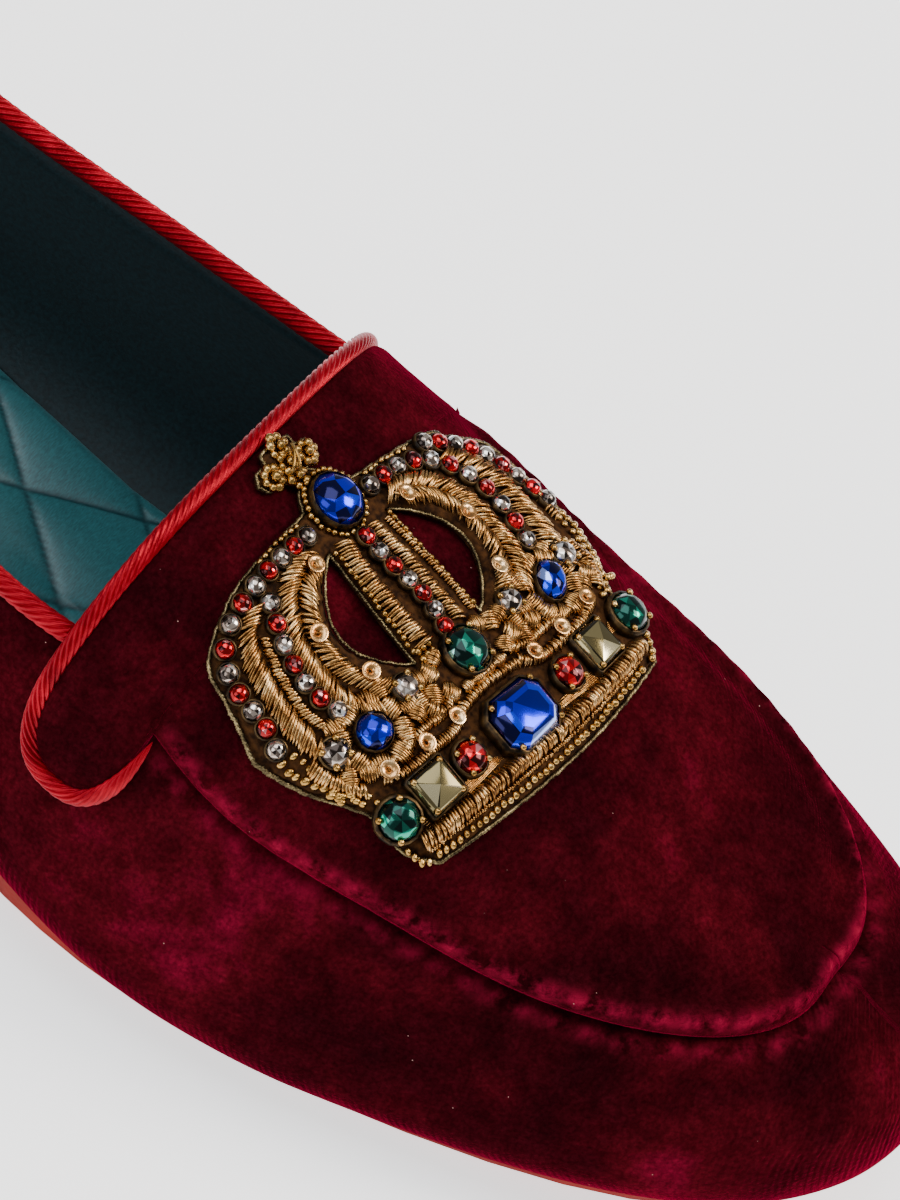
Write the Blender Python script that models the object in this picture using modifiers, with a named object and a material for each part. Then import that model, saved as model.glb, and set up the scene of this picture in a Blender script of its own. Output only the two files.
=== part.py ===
"""Velvet slipper loafer: one right shoe, standing empty on its sole.

The frame has +Z up, the toe towards -Y and the wearer's big toe side towards +X, with its origin
on the floor below the middle of the shoe. Sizes are millimetres until new_object makes metres.

The upper follows the last, the foot shape that a shoe is pulled over. A table gives the last's
sections from the heel's back to the toe's tip, and shoe_point works out any point from them:
its station along the sole's edge, its side, and its rise from that edge (0) to the crest (1).
Every other piece is cut from, laid on or set under that same function.
"""
import math

import bmesh
import bpy
import numpy as np
from mathutils import Matrix, Vector
from mathutils.geometry import delaunay_2d_cdt

# Driving sizes of the last, in millimetres
LENGTH = 288.0
BALL_WIDTH = 102.0
INSTEP = 84.0
FOREFOOT_SWING = 15.0
HEEL_SWING = 3.8
CREST_OFFSET = -3.4

# Shape of the last, as shares and powers
WAIST_STATION = 0.48
CREST_TOE = 0.865
CREST_HEEL = 0.115
TOE_CAP = 0.70
HEEL_CAP = 0.13
TOE_POWER = 2.35
HEEL_POWER = 2.15
SIDE_POWER = 0.53
FAN_FRONT = 0.58
FAN_REAR = 0.34
OFFSET_FADE = 0.4

# Collar and throat
THROAT = 0.5545
COLLAR_THROAT = 54.0
COLLAR_HEEL = 64.0
COLLAR_DIP = 4.0
TOE_ROW = 0.60

# Thicknesses and clearances
WALL = 2.0
GAP = 0.3
SHEET_GAP = 0.45
APRON_THICK = 1.5
SOLE_THICK = 3.6
INSOLE_THICK = 5.0
TOP_LIFT = 5.0
CORD_RADIUS = 1.6
COLLAR_CLEAR = 1.2

# Crown ornament on the apron, drawn in plan: its place, its turn and its sizes
CROWN_X = -7.5
CROWN_Y = -66.5
CROWN_TURN = math.radians(-5.4)
CROWN_DRAW_INNER = 1.1
CROWN_DRAW_OUTER = 5.0
CROWN_DRAW_HALF = 27.0
CROWN_DRAW_TOP = 20.0
CROWN_DRAW_FADE = 17.0
CROWN_THICK = 1.6
CROWN_GAP = 0.5
CROWN_BASE = -8.2
ROW_CURVE = 0.0022
BAND_RADIUS = 1.2
BAND_HALF = 24.0
BAND_ALONG = -6.7
ORB_ALONG = 38.4
ORB_RADIUS = 5.3
WINDOW_LOW = 16.0
WINDOW_HIGH = 33.5
WINDOW_NEAR = 6.2
WINDOW_LEAN = 1.6
WINDOW_BULGE = 7.6
PATCH_STEP = 3.6

# Half width of the crown's outline above its base, up to the orb.
CROWN_OUTLINE = np.array((
    (-5.6, 25.0),
    (-1.5, 28.3),
    (4.0, 28.6),
    (8.0, 29.6),
    (12.0, 32.0),
    (17.0, 32.6),
    (24.0, 32.4),
    (30.0, 31.2),
    (34.0, 27.5),
    (36.8, 20.0),
    (38.0, 12.0),
    (38.4, 6.5),
))

# Right half of the cross above the orb, from its neck to the middle of its top.
CROSS_OUTLINE = ((2.2, 44.1), (5.6, 44.4), (6.6, 45.8), (5.8, 47.4), (3.4, 47.6), (3.2, 49.2), (0.0, 49.5))

# Stones: across, along, half width, half length, height and number of sides; outer ones come in pairs.
STONES = {
    "stone_centre": (0.0, 0.0, 5.8, 4.8, 3.2, 8),
    "stone_orb": (0.0, ORB_ALONG, 4.1, 4.1, 3.0, 12),
    "stone_middle": (0.0, 11.4, 3.6, 3.6, 2.8, 10),
    "stone_red": (11.6, 0.4, 2.5, 2.5, 2.2, 8),
    "stone_square": (19.0, 0.9, 4.2, 4.2, 2.4, 4),
    "stone_green": (27.0, 1.5, 3.1, 3.1, 2.6, 8),
    "stone_blue": (20.3, 11.6, 2.6, 3.2, 2.4, 8),
}

# Plan shares of the heel, 1 being the last's widest outline, and the insole's room from the wall
HEEL_TOP_SHARE = 0.91
HEEL_FOOT_SHARE = 0.885
HEEL_BREAST = 0.235
SOLE_BEVEL = 0.01
INSOLE_FOOT_ROOM = 3.0
INSOLE_TOP_ROOM = 5.2

# A row for each section: the two half widths are shares of the ball width, the top is a share of
# the instep, tread is the sole's underside above the floor, bulge the rise to the widest level,
# undercut how far the wall rolls under it (degrees), and sole the plan share of the sole's edge.
SECTION_COLUMNS = ("station", "inner_half", "outer_half", "top", "tread", "bulge", "undercut", "sole")
SECTIONS = np.array((
    (0.00, 0.325, 0.325, 1.420, 15.0, 14.0, 24.0, 0.935),
    (0.15, 0.330, 0.330, 1.400, 14.5, 14.0, 26.0, 0.935),
    (0.30, 0.322, 0.339, 1.330, 12.5, 15.0, 36.0, 0.900),
    (0.42, 0.350, 0.365, 1.170, 7.5, 17.0, 50.0, 0.850),
    (0.54, 0.395, 0.460, 0.848, 2.4, 17.0, 54.0, 0.830),
    (0.62, 0.452, 0.489, 0.757, 0.3, 13.0, 42.0, 0.830),
    (0.70, 0.451, 0.473, 0.703, -0.25, 9.5, 34.0, 0.835),
    (0.78, 0.457, 0.434, 0.635, 0.45, 9.0, 34.0, 0.840),
    (0.87, 0.457, 0.408, 0.537, 2.5, 9.0, 34.0, 0.850),
    (1.00, 0.437, 0.400, 0.427, 7.0, 9.5, 32.0, 0.870),
))

# Rise of the apron's seam at each station, on the little toe (outer) and big toe (inner) side.
SEAM_COLUMNS = ("station", "outer_rise", "inner_rise")
SEAM = np.array((
    (0.60, 0.670, 0.710),
    (0.66, 0.622, 0.730),
    (0.74, 0.623, 0.748),
    (0.81, 0.628, 0.752),
    (0.87, 0.670, 0.766),
    (0.93, 0.757, 0.824),
    (1.00, 0.902, 0.902),
))

# The apron's two wings run down the sides just in front of the throat.
WING_END = 0.605
WING_DROP = 0.155
WING_CORNER = 2.8

INNER = 1
OUTER = -1


def natural_spline(knots, values, at):
    """Cubic through the knots with no bend at either end: solve for the bends, then blend."""
    count = len(knots)
    step = np.diff(knots)
    system = np.eye(count)
    right = np.zeros(count)
    for i in range(1, count - 1):
        system[i, i - 1:i + 2] = step[i - 1], 2 * (step[i - 1] + step[i]), step[i]
        right[i] = 6 * ((values[i + 1] - values[i]) / step[i] - (values[i] - values[i - 1]) / step[i - 1])
    bend = np.linalg.solve(system, right)
    at = np.asarray(at, float)
    k = np.clip(np.searchsorted(knots, at) - 1, 0, count - 2)
    a = (knots[k + 1] - at) / step[k]
    b = (at - knots[k]) / step[k]
    curve = ((a**3 - a) * bend[k] + (b**3 - b) * bend[k + 1]) * step[k]**2 / 6
    return a * values[k] + b * values[k + 1] + curve


def section(name, station):
    """One column of the section table, at any station."""
    return natural_spline(SECTIONS[:, 0], SECTIONS[:, SECTION_COLUMNS.index(name)], station)


def axis_x(station):
    """Centre line of the plan: the forefoot swings inwards, and the heel slightly too."""
    ahead = np.clip((station - WAIST_STATION) / (1 - WAIST_STATION), 0, 1)
    behind = np.clip((WAIST_STATION - station) / WAIST_STATION, 0, 1)
    return FOREFOOT_SWING * ahead**2 + HEEL_SWING * behind**2


def cap_share(station):
    """Rounds the plan off at both ends, as superellipses."""
    toe = np.clip((station - TOE_CAP) / (1 - TOE_CAP), 0, 1)
    heel = np.clip((HEEL_CAP - station) / HEEL_CAP, 0, 1)
    return (1 - toe**TOE_POWER)**(1 / TOE_POWER) * (1 - heel**HEEL_POWER)**(1 / HEEL_POWER)


def widest_point(station, side):
    """Plan point of the widest outline."""
    half = np.where(side > 0, section("inner_half", station), section("outer_half", station))
    return axis_x(station) + side * half * BALL_WIDTH * cap_share(station), LENGTH * (0.5 - station)


def crest_share(station):
    """Station at which a rib meets the crest: the ribs fan out round the toe and the heel."""
    reach = CREST_TOE - FAN_FRONT
    power = (1 - FAN_FRONT) / reach
    ahead = FAN_FRONT + reach * (1 - (1 - np.clip((station - FAN_FRONT) / (1 - FAN_FRONT), 0, 1))**power)
    reach_back = FAN_REAR - CREST_HEEL
    power_back = FAN_REAR / reach_back
    behind = FAN_REAR - reach_back * (1 - (1 - np.clip((FAN_REAR - station) / FAN_REAR, 0, 1))**power_back)
    return np.where(station > FAN_FRONT, ahead, np.where(station < FAN_REAR, behind, station))


def crest_point(share):
    """Plan point of the crest line."""
    offset = CREST_OFFSET * np.clip((1 - share) / OFFSET_FADE, 0, 1)
    return axis_x(share) + offset, LENGTH * (0.5 - share)


def crest_height(share):
    return section("top", share) * INSTEP


def tread_height(station):
    """The sole's underside: flat on the floor below the ball, raised at waist, heel and toe."""
    return np.maximum(section("tread", station), 0)


def feather_height(station):
    """Lower edge of the upper, just above the sole's top."""
    return tread_height(station) + SOLE_THICK + GAP


def undercut(station):
    """Angle by which the wall rolls under its widest level."""
    return np.radians(section("undercut", station))


def shoe_point(station, side, rise):
    """Point of the last: sideways by a power of cos(a), upwards by sin(a), a from the undercut to 90."""
    station, side, rise = np.broadcast_arrays(*(np.asarray(v, float) for v in (station, side, rise)))
    wide_x, wide_y = widest_point(station, side)
    share = crest_share(station)
    crest_x, crest_y = crest_point(share)
    top = crest_height(share)
    slope = (crest_height(share + 1e-3) - crest_height(share - 1e-3)) / (-2e-3 * LENGTH)
    under = undercut(station)
    angle = rise * (math.pi / 2 + under) - under
    reach = np.abs(np.cos(angle))**SIDE_POWER
    x = crest_x + (wide_x - crest_x) * reach
    y = crest_y + (wide_y - crest_y) * reach
    lift = np.sin(angle)
    bulge = section("bulge", station)
    wide_z = feather_height(station) + bulge
    above = wide_z + (top - wide_z) * lift + slope * (y - crest_y) * lift**2
    below = wide_z + bulge * lift / np.sin(under)
    return np.stack([x, y, np.where(lift > 0, above, below)], -1)


def shoe_normal(station, side, rise):
    """Outward normal, from the slopes along and up the surface."""
    step = 2e-3
    ahead = np.clip(station + step, 0, 1)
    back = np.clip(station - step, 0, 1)
    up = np.clip(rise + step, 0, 1)
    down = np.clip(rise - step, 0, 1)
    along = shoe_point(ahead, side, rise) - shoe_point(back, side, rise)
    rising = shoe_point(station, side, up) - shoe_point(station, side, down)
    normal = np.cross(along, rising) * -np.asarray(side, float)[..., None]
    return normal / np.linalg.norm(normal, axis=-1, keepdims=True)


def collar_height(station):
    """Height of the collar's edge: highest at the heel, with a shallow dip along the side."""
    share = np.clip(station / THROAT, 0, 1)
    climb = (COLLAR_HEEL - COLLAR_THROAT) * (1 - share)**1.5
    return COLLAR_THROAT + climb - COLLAR_DIP * np.sin(math.pi * share)


def collar_rise(station, side):
    """Rise at which the surface reaches the collar's height, by halving."""
    low = np.full(np.shape(station), 0.2)
    high = np.ones(np.shape(station))
    for _ in range(40):
        middle = (low + high) / 2
        below = shoe_point(station, side, middle)[..., 2] < collar_height(station)
        low = np.where(below, middle, low)
        high = np.where(below, high, middle)
    return (low + high) / 2


def throat_corner(side):
    return float(collar_rise(np.array([THROAT]), np.array([side]))[0])


def heel_stations(count):
    """Stations round the heel, evenly spaced along its curve."""
    return HEEL_CAP * (1 - np.cos(np.linspace(0, math.pi / 2, count + 1)))


def toe_stations(count):
    """Stations round the toe cap, evenly spaced along its curve."""
    turn = np.linspace(0, math.pi / 2, count + 1)
    return TOE_CAP + (1 - TOE_CAP) * np.sin(turn)**(2 / TOE_POWER)


def back_stations(heel_count, side_count):
    """From the heel's back to the throat."""
    return np.concatenate([heel_stations(heel_count), np.linspace(HEEL_CAP, THROAT, side_count + 1)[1:]])


def front_stations(first, side_count, toe_count):
    """From the throat, or another first station, to the toe's tip."""
    return np.concatenate([np.linspace(first, TOE_CAP, side_count + 1)[:-1], toe_stations(toe_count)])


def quads(points, side):
    """Corner lists of a grid's cells, facing outwards on either side."""
    a, b, c, d = points[:-1, :-1], points[1:, :-1], points[1:, 1:], points[:-1, 1:]
    cells = np.stack([a, b, c, d] if side < 0 else [a, d, c, b], 2)
    return cells.reshape(-1, 4, 3)


def clear_scene():
    """Remove whatever the file holds."""
    for item in list(bpy.data.objects):
        bpy.data.objects.remove(item, do_unlink=True)
    for mesh in list(bpy.data.meshes):
        bpy.data.meshes.remove(mesh)


def finish_material(name, colour, roughness, metallic=0.0):
    """Principled material with a sub-part's own colour, roughness and metallic value."""
    material = bpy.data.materials.new(name)
    material.use_nodes = True
    shader = material.node_tree.nodes["Principled BSDF"]
    shader.inputs["Base Color"].default_value = (*colour, 1.0)
    shader.inputs["Roughness"].default_value = roughness
    shader.inputs["Metallic"].default_value = metallic
    material.diffuse_color = (*colour, 1.0)
    return material


def mesh_from_faces(name, faces):
    """Mesh in metres from faces given as corner points in millimetres; equal corners are welded."""
    work = bmesh.new()
    for face in faces:
        corners = [work.verts.new(Vector(corner) * 0.001) for corner in face]
        work.faces.new(corners)
    bmesh.ops.remove_doubles(work, verts=work.verts, dist=2e-6)
    bmesh.ops.dissolve_degenerate(work, dist=1e-6, edges=work.edges)
    mesh = bpy.data.meshes.new(name)
    work.to_mesh(mesh)
    work.free()
    return mesh


def new_object(name, data, material, collection):
    """Object for one sub-part, in the shoe's collection."""
    data.materials.append(material)
    item = bpy.data.objects.new(name, data)
    collection.objects.link(item)
    return item


def smooth(mesh, angle=40):
    mesh.shade_smooth()
    mesh.set_sharp_from_angle(angle=math.radians(angle))


def lift_mesh(mesh, distance):
    """Move every vertex outwards along its own normal."""
    normals = np.array([v.normal for v in mesh.vertices])
    places = np.array([v.co for v in mesh.vertices]) + normals * distance * 0.001
    mesh.vertices.foreach_set("co", places.ravel())
    mesh.update()


def solidify(item, thickness, outwards):
    """Give an open surface its thickness."""
    modifier = item.modifiers.new("thickness", 'SOLIDIFY')
    modifier.thickness = thickness * 0.001
    modifier.offset = 1.0 if outwards else -1.0
    modifier.use_even_offset = True
    modifier.use_quality_normals = True


def upper_faces():
    """The upper's outer surface: closed over the forefoot, cut off at the collar behind the throat."""
    lower_rows = np.linspace(0, 1, 8)
    crest_rows = np.linspace(0, 1, 9)[1:]
    faces = []
    for side in (INNER, OUTER):
        back = back_stations(6, 16)
        rise = collar_rise(back, np.full(back.shape, side))[:, None] * lower_rows
        faces.append(quads(shoe_point(back[:, None], side, rise), side))
        front = front_stations(THROAT, 6, 12)
        share = (front - THROAT) / (1 - THROAT)
        level = (throat_corner(side) * (1 - share) + TOE_ROW * share)[:, None]
        rows = np.concatenate([level * lower_rows, level + (1 - level) * crest_rows], 1)
        faces.append(quads(shoe_point(front[:, None], side, rows), side))
    return np.concatenate(faces)


def build_upper(collection, material):
    """One hollow shell, open at the collar and underneath, its wall inside the last's outline."""
    mesh = mesh_from_faces("upper", upper_faces())
    smooth(mesh)
    item = new_object("upper", mesh, material, collection)
    solidify(item, WALL, outwards=False)
    return item


def wing_stations(count):
    """Stations across a wing, closer together at its two edges."""
    return THROAT + (WING_END - THROAT) * (1 - np.cos(np.linspace(0, math.pi, count + 1))) / 2


def seam_rise(station, side):
    """Lower edge of the apron: round the wing first, then along the seam to the toe."""
    column = SEAM_COLUMNS.index("inner_rise" if side > 0 else "outer_rise")
    seam = natural_spline(SEAM[:, 0], SEAM[:, column], np.maximum(station, WING_END))
    across = np.clip((station - THROAT) / (WING_END - THROAT), 0, 1)
    corner = throat_corner(side)
    shoulder = corner + (SEAM[0, column] - corner) * across
    tongue = (1 - np.abs(2 * across - 1)**WING_CORNER)**(1 / WING_CORNER)
    return np.where(station < WING_END, shoulder - WING_DROP * tongue, seam)


def apron_faces():
    """The apron: the plug over the forefoot and the two wings, as rows from its seam to the crest."""
    rows = np.linspace(0, 1, 12)
    faces = []
    for side in (INNER, OUTER):
        stations = np.concatenate([wing_stations(12)[:-1], front_stations(WING_END, 4, 12)])
        edge = seam_rise(stations, side)[:, None]
        faces.append(quads(shoe_point(stations[:, None], side, edge + (1 - edge) * rows), side))
    return np.concatenate(faces)


def build_apron(collection, material):
    """Velvet apron laid on the upper, with a hair of clearance."""
    mesh = mesh_from_faces("apron", apron_faces())
    lift_mesh(mesh, SHEET_GAP)
    smooth(mesh)
    item = new_object("apron", mesh, material, collection)
    solidify(item, APRON_THICK, outwards=True)
    return item


def plan_rim(stations, share, side):
    """Plan points between the crest line and the widest outline."""
    wide_x, wide_y = widest_point(stations, side)
    crest_x, crest_y = crest_point(crest_share(stations))
    return crest_x + (wide_x - crest_x) * share, crest_y + (wide_y - crest_y) * share


def wall_share(stations, side, height, room):
    """Plan share of the upper's wall at a height above its lower edge, less some room in millimetres."""
    lift = (height / section("bulge", stations) - 1) * np.sin(undercut(stations))
    reach = np.cos(np.arcsin(lift))**SIDE_POWER
    wide_x, wide_y = widest_point(stations, side)
    crest_x, crest_y = crest_point(crest_share(stations))
    return reach - room / np.hypot(wide_x - crest_x, wide_y - crest_y)


def slab_faces(stations, top_share, foot_share, top_z, foot_z, closed_front):
    """Solid between two outlines, given by side: strips above and below, and a wall all round."""
    rims = {}
    for level, share, height in (("top", top_share, top_z), ("foot", foot_share, foot_z)):
        for side in (INNER, OUTER):
            x, y = plan_rim(stations, share[side], side)
            rims[level, side] = np.stack([x, y, height], -1)
    faces = []
    for j in range(len(stations) - 1):
        for side in (INNER, OUTER):
            wall = [rims["top", side][j], rims["top", side][j + 1], rims["foot", side][j + 1], rims["foot", side][j]]
            faces.append(wall if side > 0 else wall[::-1])
        for level in ("top", "foot"):
            strip = [rims[level, INNER][j], rims[level, OUTER][j], rims[level, OUTER][j + 1],
                     rims[level, INNER][j + 1]]
            faces.append(strip if level == "top" else strip[::-1])
    if closed_front:
        faces.append([rims["top", INNER][-1], rims["top", OUTER][-1], rims["foot", OUTER][-1],
                      rims["foot", INNER][-1]])
    return [np.array(face) for face in faces]


def both(share):
    """The same plan share on either side."""
    return {INNER: share, OUTER: share}


def whole_stations():
    """Stations of the full length, for the sole and the insole."""
    return np.concatenate([back_stations(7, 12), front_stations(THROAT, 6, 10)[1:]])


def build_slab(name, collection, material, **shape):
    """Slab between two outlines, with its rims kept crisp."""
    mesh = mesh_from_faces(name, slab_faces(**shape))
    smooth(mesh)
    return new_object(name, mesh, material, collection)


def build_outsole(collection, material):
    """Thin leather sole: set in under the upper's roll, with arch and toe spring, flat below the ball."""
    stations = whole_stations()
    foot = tread_height(stations)
    share = section("sole", stations)
    return build_slab("outsole", collection, material, stations=stations, top_share=both(share),
                      foot_share=both(share - SOLE_BEVEL), top_z=foot + SOLE_THICK, foot_z=foot, closed_front=False)


def build_insole(collection, material):
    """Padded sock that fills the bottom inside the upper."""
    stations = whole_stations()
    foot = feather_height(stations)
    top_share = {side: wall_share(stations, side, INSOLE_THICK, INSOLE_TOP_ROOM) for side in (INNER, OUTER)}
    foot_share = {side: wall_share(stations, side, 0.0, INSOLE_FOOT_ROOM) for side in (INNER, OUTER)}
    return build_slab("insole", collection, material, stations=stations, top_share=top_share,
                      foot_share=foot_share, top_z=foot + INSOLE_THICK, foot_z=foot, closed_front=False)


def heel_block_stations():
    return np.concatenate([heel_stations(7), np.linspace(HEEL_CAP, HEEL_BREAST, 4)[1:]])


def build_heel(collection, material):
    """Stacked heel between the sole and the top lift, tapering a little downwards."""
    stations = heel_block_stations()
    foot = np.full(stations.shape, TOP_LIFT + GAP)
    return build_slab("heel_stack", collection, material, stations=stations, top_share=both(HEEL_TOP_SHARE),
                      foot_share=both(HEEL_FOOT_SHARE), top_z=tread_height(stations) - GAP, foot_z=foot,
                      closed_front=True)


def build_top_lift(collection, material):
    """Rubber lift that the heel stands on."""
    stations = heel_block_stations()
    flat = np.zeros(stations.shape)
    return build_slab("top_lift", collection, material, stations=stations, top_share=both(HEEL_FOOT_SHARE),
                      foot_share=both(HEEL_FOOT_SHARE), top_z=flat + TOP_LIFT, foot_z=flat, closed_front=True)


def cord_object(name, path, collection, material, radius=CORD_RADIUS):
    """Round cord along a path of points, with closed ends."""
    curve = bpy.data.curves.new(name, 'CURVE')
    curve.dimensions = '3D'
    curve.bevel_depth = radius * 0.001
    curve.bevel_resolution = 2
    curve.use_fill_caps = True
    spline = curve.splines.new('POLY')
    spline.points.add(len(path) - 1)
    for point, place in zip(spline.points, path):
        point.co = (*(Vector(place) * 0.001), 1.0)
    return new_object(name, curve, material, collection)


def collar_path():
    """Rim of the collar, from the outer throat corner round the heel to the inner one."""
    clear = (2 * CORD_RADIUS + 3 * GAP + COLLAR_CLEAR) / LENGTH
    side_part = np.linspace(THROAT - clear, HEEL_CAP, 22)
    walk = np.concatenate([side_part, heel_stations(9)[::-1][1:]])
    half = {}
    for side in (INNER, OUTER):
        rise = collar_rise(walk, np.full(walk.shape, side))
        rim = shoe_point(walk, side, rise)
        inwards = shoe_normal(walk, np.full(walk.shape, side), rise) * (WALL / 2)
        half[side] = rim - inwards + np.array([0, 0, CORD_RADIUS + 2 * GAP])
    return np.concatenate([half[OUTER], half[INNER][-2::-1]])


def binding_side(side):
    """Half of the apron's bound edge: from the seam round the wing and up the throat to the crest."""
    around = wing_stations(22)[::-1]
    rise_around = seam_rise(around, side)
    up_throat = np.linspace(throat_corner(side), 1, 15)[1:]
    station = np.concatenate([around, np.full(up_throat.shape, THROAT)])
    rise = np.concatenate([rise_around, up_throat])
    return station, np.full(station.shape, float(side)), rise


def binding_path():
    """Cord just outside the apron's edge: on the quarter round each wing, free along the throat."""
    station, side, rise = (np.concatenate([a, b[-2::-1]]) for a, b in zip(binding_side(OUTER), binding_side(INNER)))
    edge = shoe_point(station, side, rise)
    normal = shoe_normal(station, side, rise)
    tangent = np.gradient(edge, axis=0)
    outwards = np.cross(normal, tangent)
    outwards /= np.linalg.norm(outwards, axis=1, keepdims=True)
    return edge, normal, outwards


def resample(path, count):
    """Evenly spaced points along a path."""
    steps = np.linalg.norm(np.diff(path, axis=0), axis=1)
    run = np.concatenate([[0], np.cumsum(steps)])
    at = np.linspace(0, run[-1], count)
    return np.stack([np.interp(at, run, path[:, k]) for k in range(3)], -1)


def last_from_plan(x, y):
    """Station, side and rise of the last above a plan point: halve along the ribs, then read the reach."""
    share = np.minimum(0.5 - y / LENGTH, CREST_TOE)
    side = np.where(x >= crest_point(share)[0], 1.0, -1.0)
    low = 0.5 - y / LENGTH - 0.002
    high = np.ones_like(low)

    def rib(station):
        wide_x, wide_y = widest_point(station, side)
        crest_x, crest_y = crest_point(crest_share(station))
        return wide_x - crest_x, wide_y - crest_y, x - crest_x, y - crest_y

    def turn(station):
        rib_x, rib_y, to_x, to_y = rib(station)
        return rib_x * to_y - rib_y * to_x

    first = np.sign(turn(low))
    for _ in range(34):
        middle = (low + high) / 2
        same = np.sign(turn(middle)) == first
        low = np.where(same, middle, low)
        high = np.where(same, high, middle)
    station = (low + high) / 2
    rib_x, rib_y, to_x, to_y = rib(station)
    reach = np.clip((rib_x * to_x + rib_y * to_y) / (rib_x**2 + rib_y**2), 1e-9, 1)
    rise = (np.arccos(reach**(1 / SIDE_POWER)) + undercut(station)) / (math.pi / 2 + undercut(station))
    return station, side, rise


def height_at(x, y):
    return shoe_point(*last_from_plan(x, y))[..., 2]


def drape(across, along, lift):
    """Lay crown sizes on the apron: draw the base in on the steeper side, place, and step out by lift."""
    across, along = np.broadcast_arrays(np.asarray(across, float), np.asarray(along, float))
    drawn = np.where(across > 0, CROWN_DRAW_INNER, CROWN_DRAW_OUTER) * (across / CROWN_DRAW_HALF)**2
    across = across + drawn * np.clip((CROWN_DRAW_TOP - along) / CROWN_DRAW_FADE, 0, 1)
    x = CROWN_X + across * math.cos(CROWN_TURN) - along * math.sin(CROWN_TURN)
    y = CROWN_Y + across * math.sin(CROWN_TURN) + along * math.cos(CROWN_TURN)
    step = 0.8
    slope_x = (height_at(x + step, y) - height_at(x - step, y)) / (2 * step)
    slope_y = (height_at(x, y + step) - height_at(x, y - step)) / (2 * step)
    normal = np.stack([-slope_x, -slope_y, np.ones_like(x)], -1)
    normal /= np.linalg.norm(normal, axis=-1, keepdims=True)
    return np.stack([x, y, height_at(x, y)], -1) + normal * lift, normal


def crown_outline():
    """Outline of the patch: curved base, bulging arches, orb and cross, mirrored from its right half."""
    base = np.linspace(0, CROWN_OUTLINE[0, 1] - 1, 9)
    base_part = np.stack([base, CROWN_BASE + ROW_CURVE * base**2], -1)
    top = CROWN_OUTLINE[-1, 0]
    share = np.sin(np.linspace(0, math.pi / 2, 19))
    along = CROWN_OUTLINE[0, 0] + (top - CROWN_OUTLINE[0, 0]) * share
    side_part = np.stack([natural_spline(CROWN_OUTLINE[:, 0], CROWN_OUTLINE[:, 1], along), along], -1)
    turn = np.radians(np.linspace(15, 62, 5))
    orb_part = np.stack([ORB_RADIUS * np.cos(turn), ORB_ALONG + ORB_RADIUS * np.sin(turn)], -1)
    right = np.concatenate([base_part, side_part, orb_part, np.array(CROSS_OUTLINE)])
    return np.concatenate([right, right[-2:0:-1] * (-1, 1)])


def crown_window(side):
    """Leaf-shaped opening between the middle bar and an arch, where the apron's velvet shows."""
    along = np.linspace(WINDOW_LOW, WINDOW_HIGH, 9)
    share = (WINDOW_HIGH - along) / (WINDOW_HIGH - WINDOW_LOW)
    near = WINDOW_NEAR + WINDOW_LEAN * share
    far = near + WINDOW_BULGE * np.sin(math.pi * share)**0.8
    loop = np.concatenate([np.stack([near, along], -1), np.stack([far, along], -1)[-2:0:-1]])
    return loop * (side, 1)


def inside(loop, points):
    """Even-odd test of points against a closed loop."""
    count = np.zeros(len(points), int)
    for a, b in zip(loop, np.roll(loop, -1, axis=0)):
        spans = (a[1] > points[:, 1]) != (b[1] > points[:, 1])
        run = (b[1] - a[1]) if b[1] != a[1] else 1.0
        crossing = a[0] + (points[:, 1] - a[1]) / run * (b[0] - a[0])
        count += spans & (points[:, 0] < crossing)
    return count % 2 == 1


def patch_triangles():
    """Flat triangles of the patch: outline, windows and a grid of points between them."""
    loops = [crown_outline(), crown_window(INNER), crown_window(OUTER)]
    grid = np.stack(np.meshgrid(np.arange(-28.8, 29, PATCH_STEP), np.arange(-5, 56, PATCH_STEP)), -1).reshape(-1, 2)
    edge_points = np.concatenate(loops)
    apart = np.array([np.min(np.hypot(*(edge_points - g).T)) for g in grid]) > PATCH_STEP * 0.5
    keep = apart & inside(loops[0], grid) & ~inside(loops[1], grid) & ~inside(loops[2], grid)
    points = np.concatenate([edge_points, grid[keep]])
    edges = []
    start = 0
    for loop in loops:
        count = len(loop)
        edges += [(start + k, start + (k + 1) % count) for k in range(count)]
        start += count
    flat = delaunay_2d_cdt([Vector(point) for point in points], edges, [], 0, 1e-4)
    places = np.array([tuple(v) for v in flat[0]])
    corners = np.array(flat[2])
    middle = places[corners].mean(axis=1)
    kept = inside(loops[0], middle) & ~inside(loops[1], middle) & ~inside(loops[2], middle)
    return places, corners[kept]


def build_crown_patch(collection, material):
    """Padded felt patch of the crown, draped over the apron."""
    places, corners = patch_triangles()
    lifted, _ = drape(places[:, 0], places[:, 1], SHEET_GAP + APRON_THICK + CROWN_GAP)
    one, two = (places[corners[:, k]] - places[corners[:, 0]] for k in (1, 2))
    up = one[:, 0] * two[:, 1] - one[:, 1] * two[:, 0] > 0
    faces = lifted[np.where(up[:, None], corners, corners[:, ::-1])]
    mesh = mesh_from_faces("crown_patch", faces)
    smooth(mesh)
    item = new_object("crown_patch", mesh, material, collection)
    solidify(item, CROWN_THICK, outwards=True)
    return item


def build_crown_band(collection, material):
    """Raised roll of metal thread along the crown's base, below its row of stones."""
    across = np.linspace(-BAND_HALF, BAND_HALF, 17)
    lift = SHEET_GAP + APRON_THICK + CROWN_GAP + CROWN_THICK + BAND_RADIUS + CROWN_GAP
    path, _ = drape(across, BAND_ALONG + ROW_CURVE * across**2, lift)
    return cord_object("crown_band", path, collection, material, BAND_RADIUS)


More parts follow.
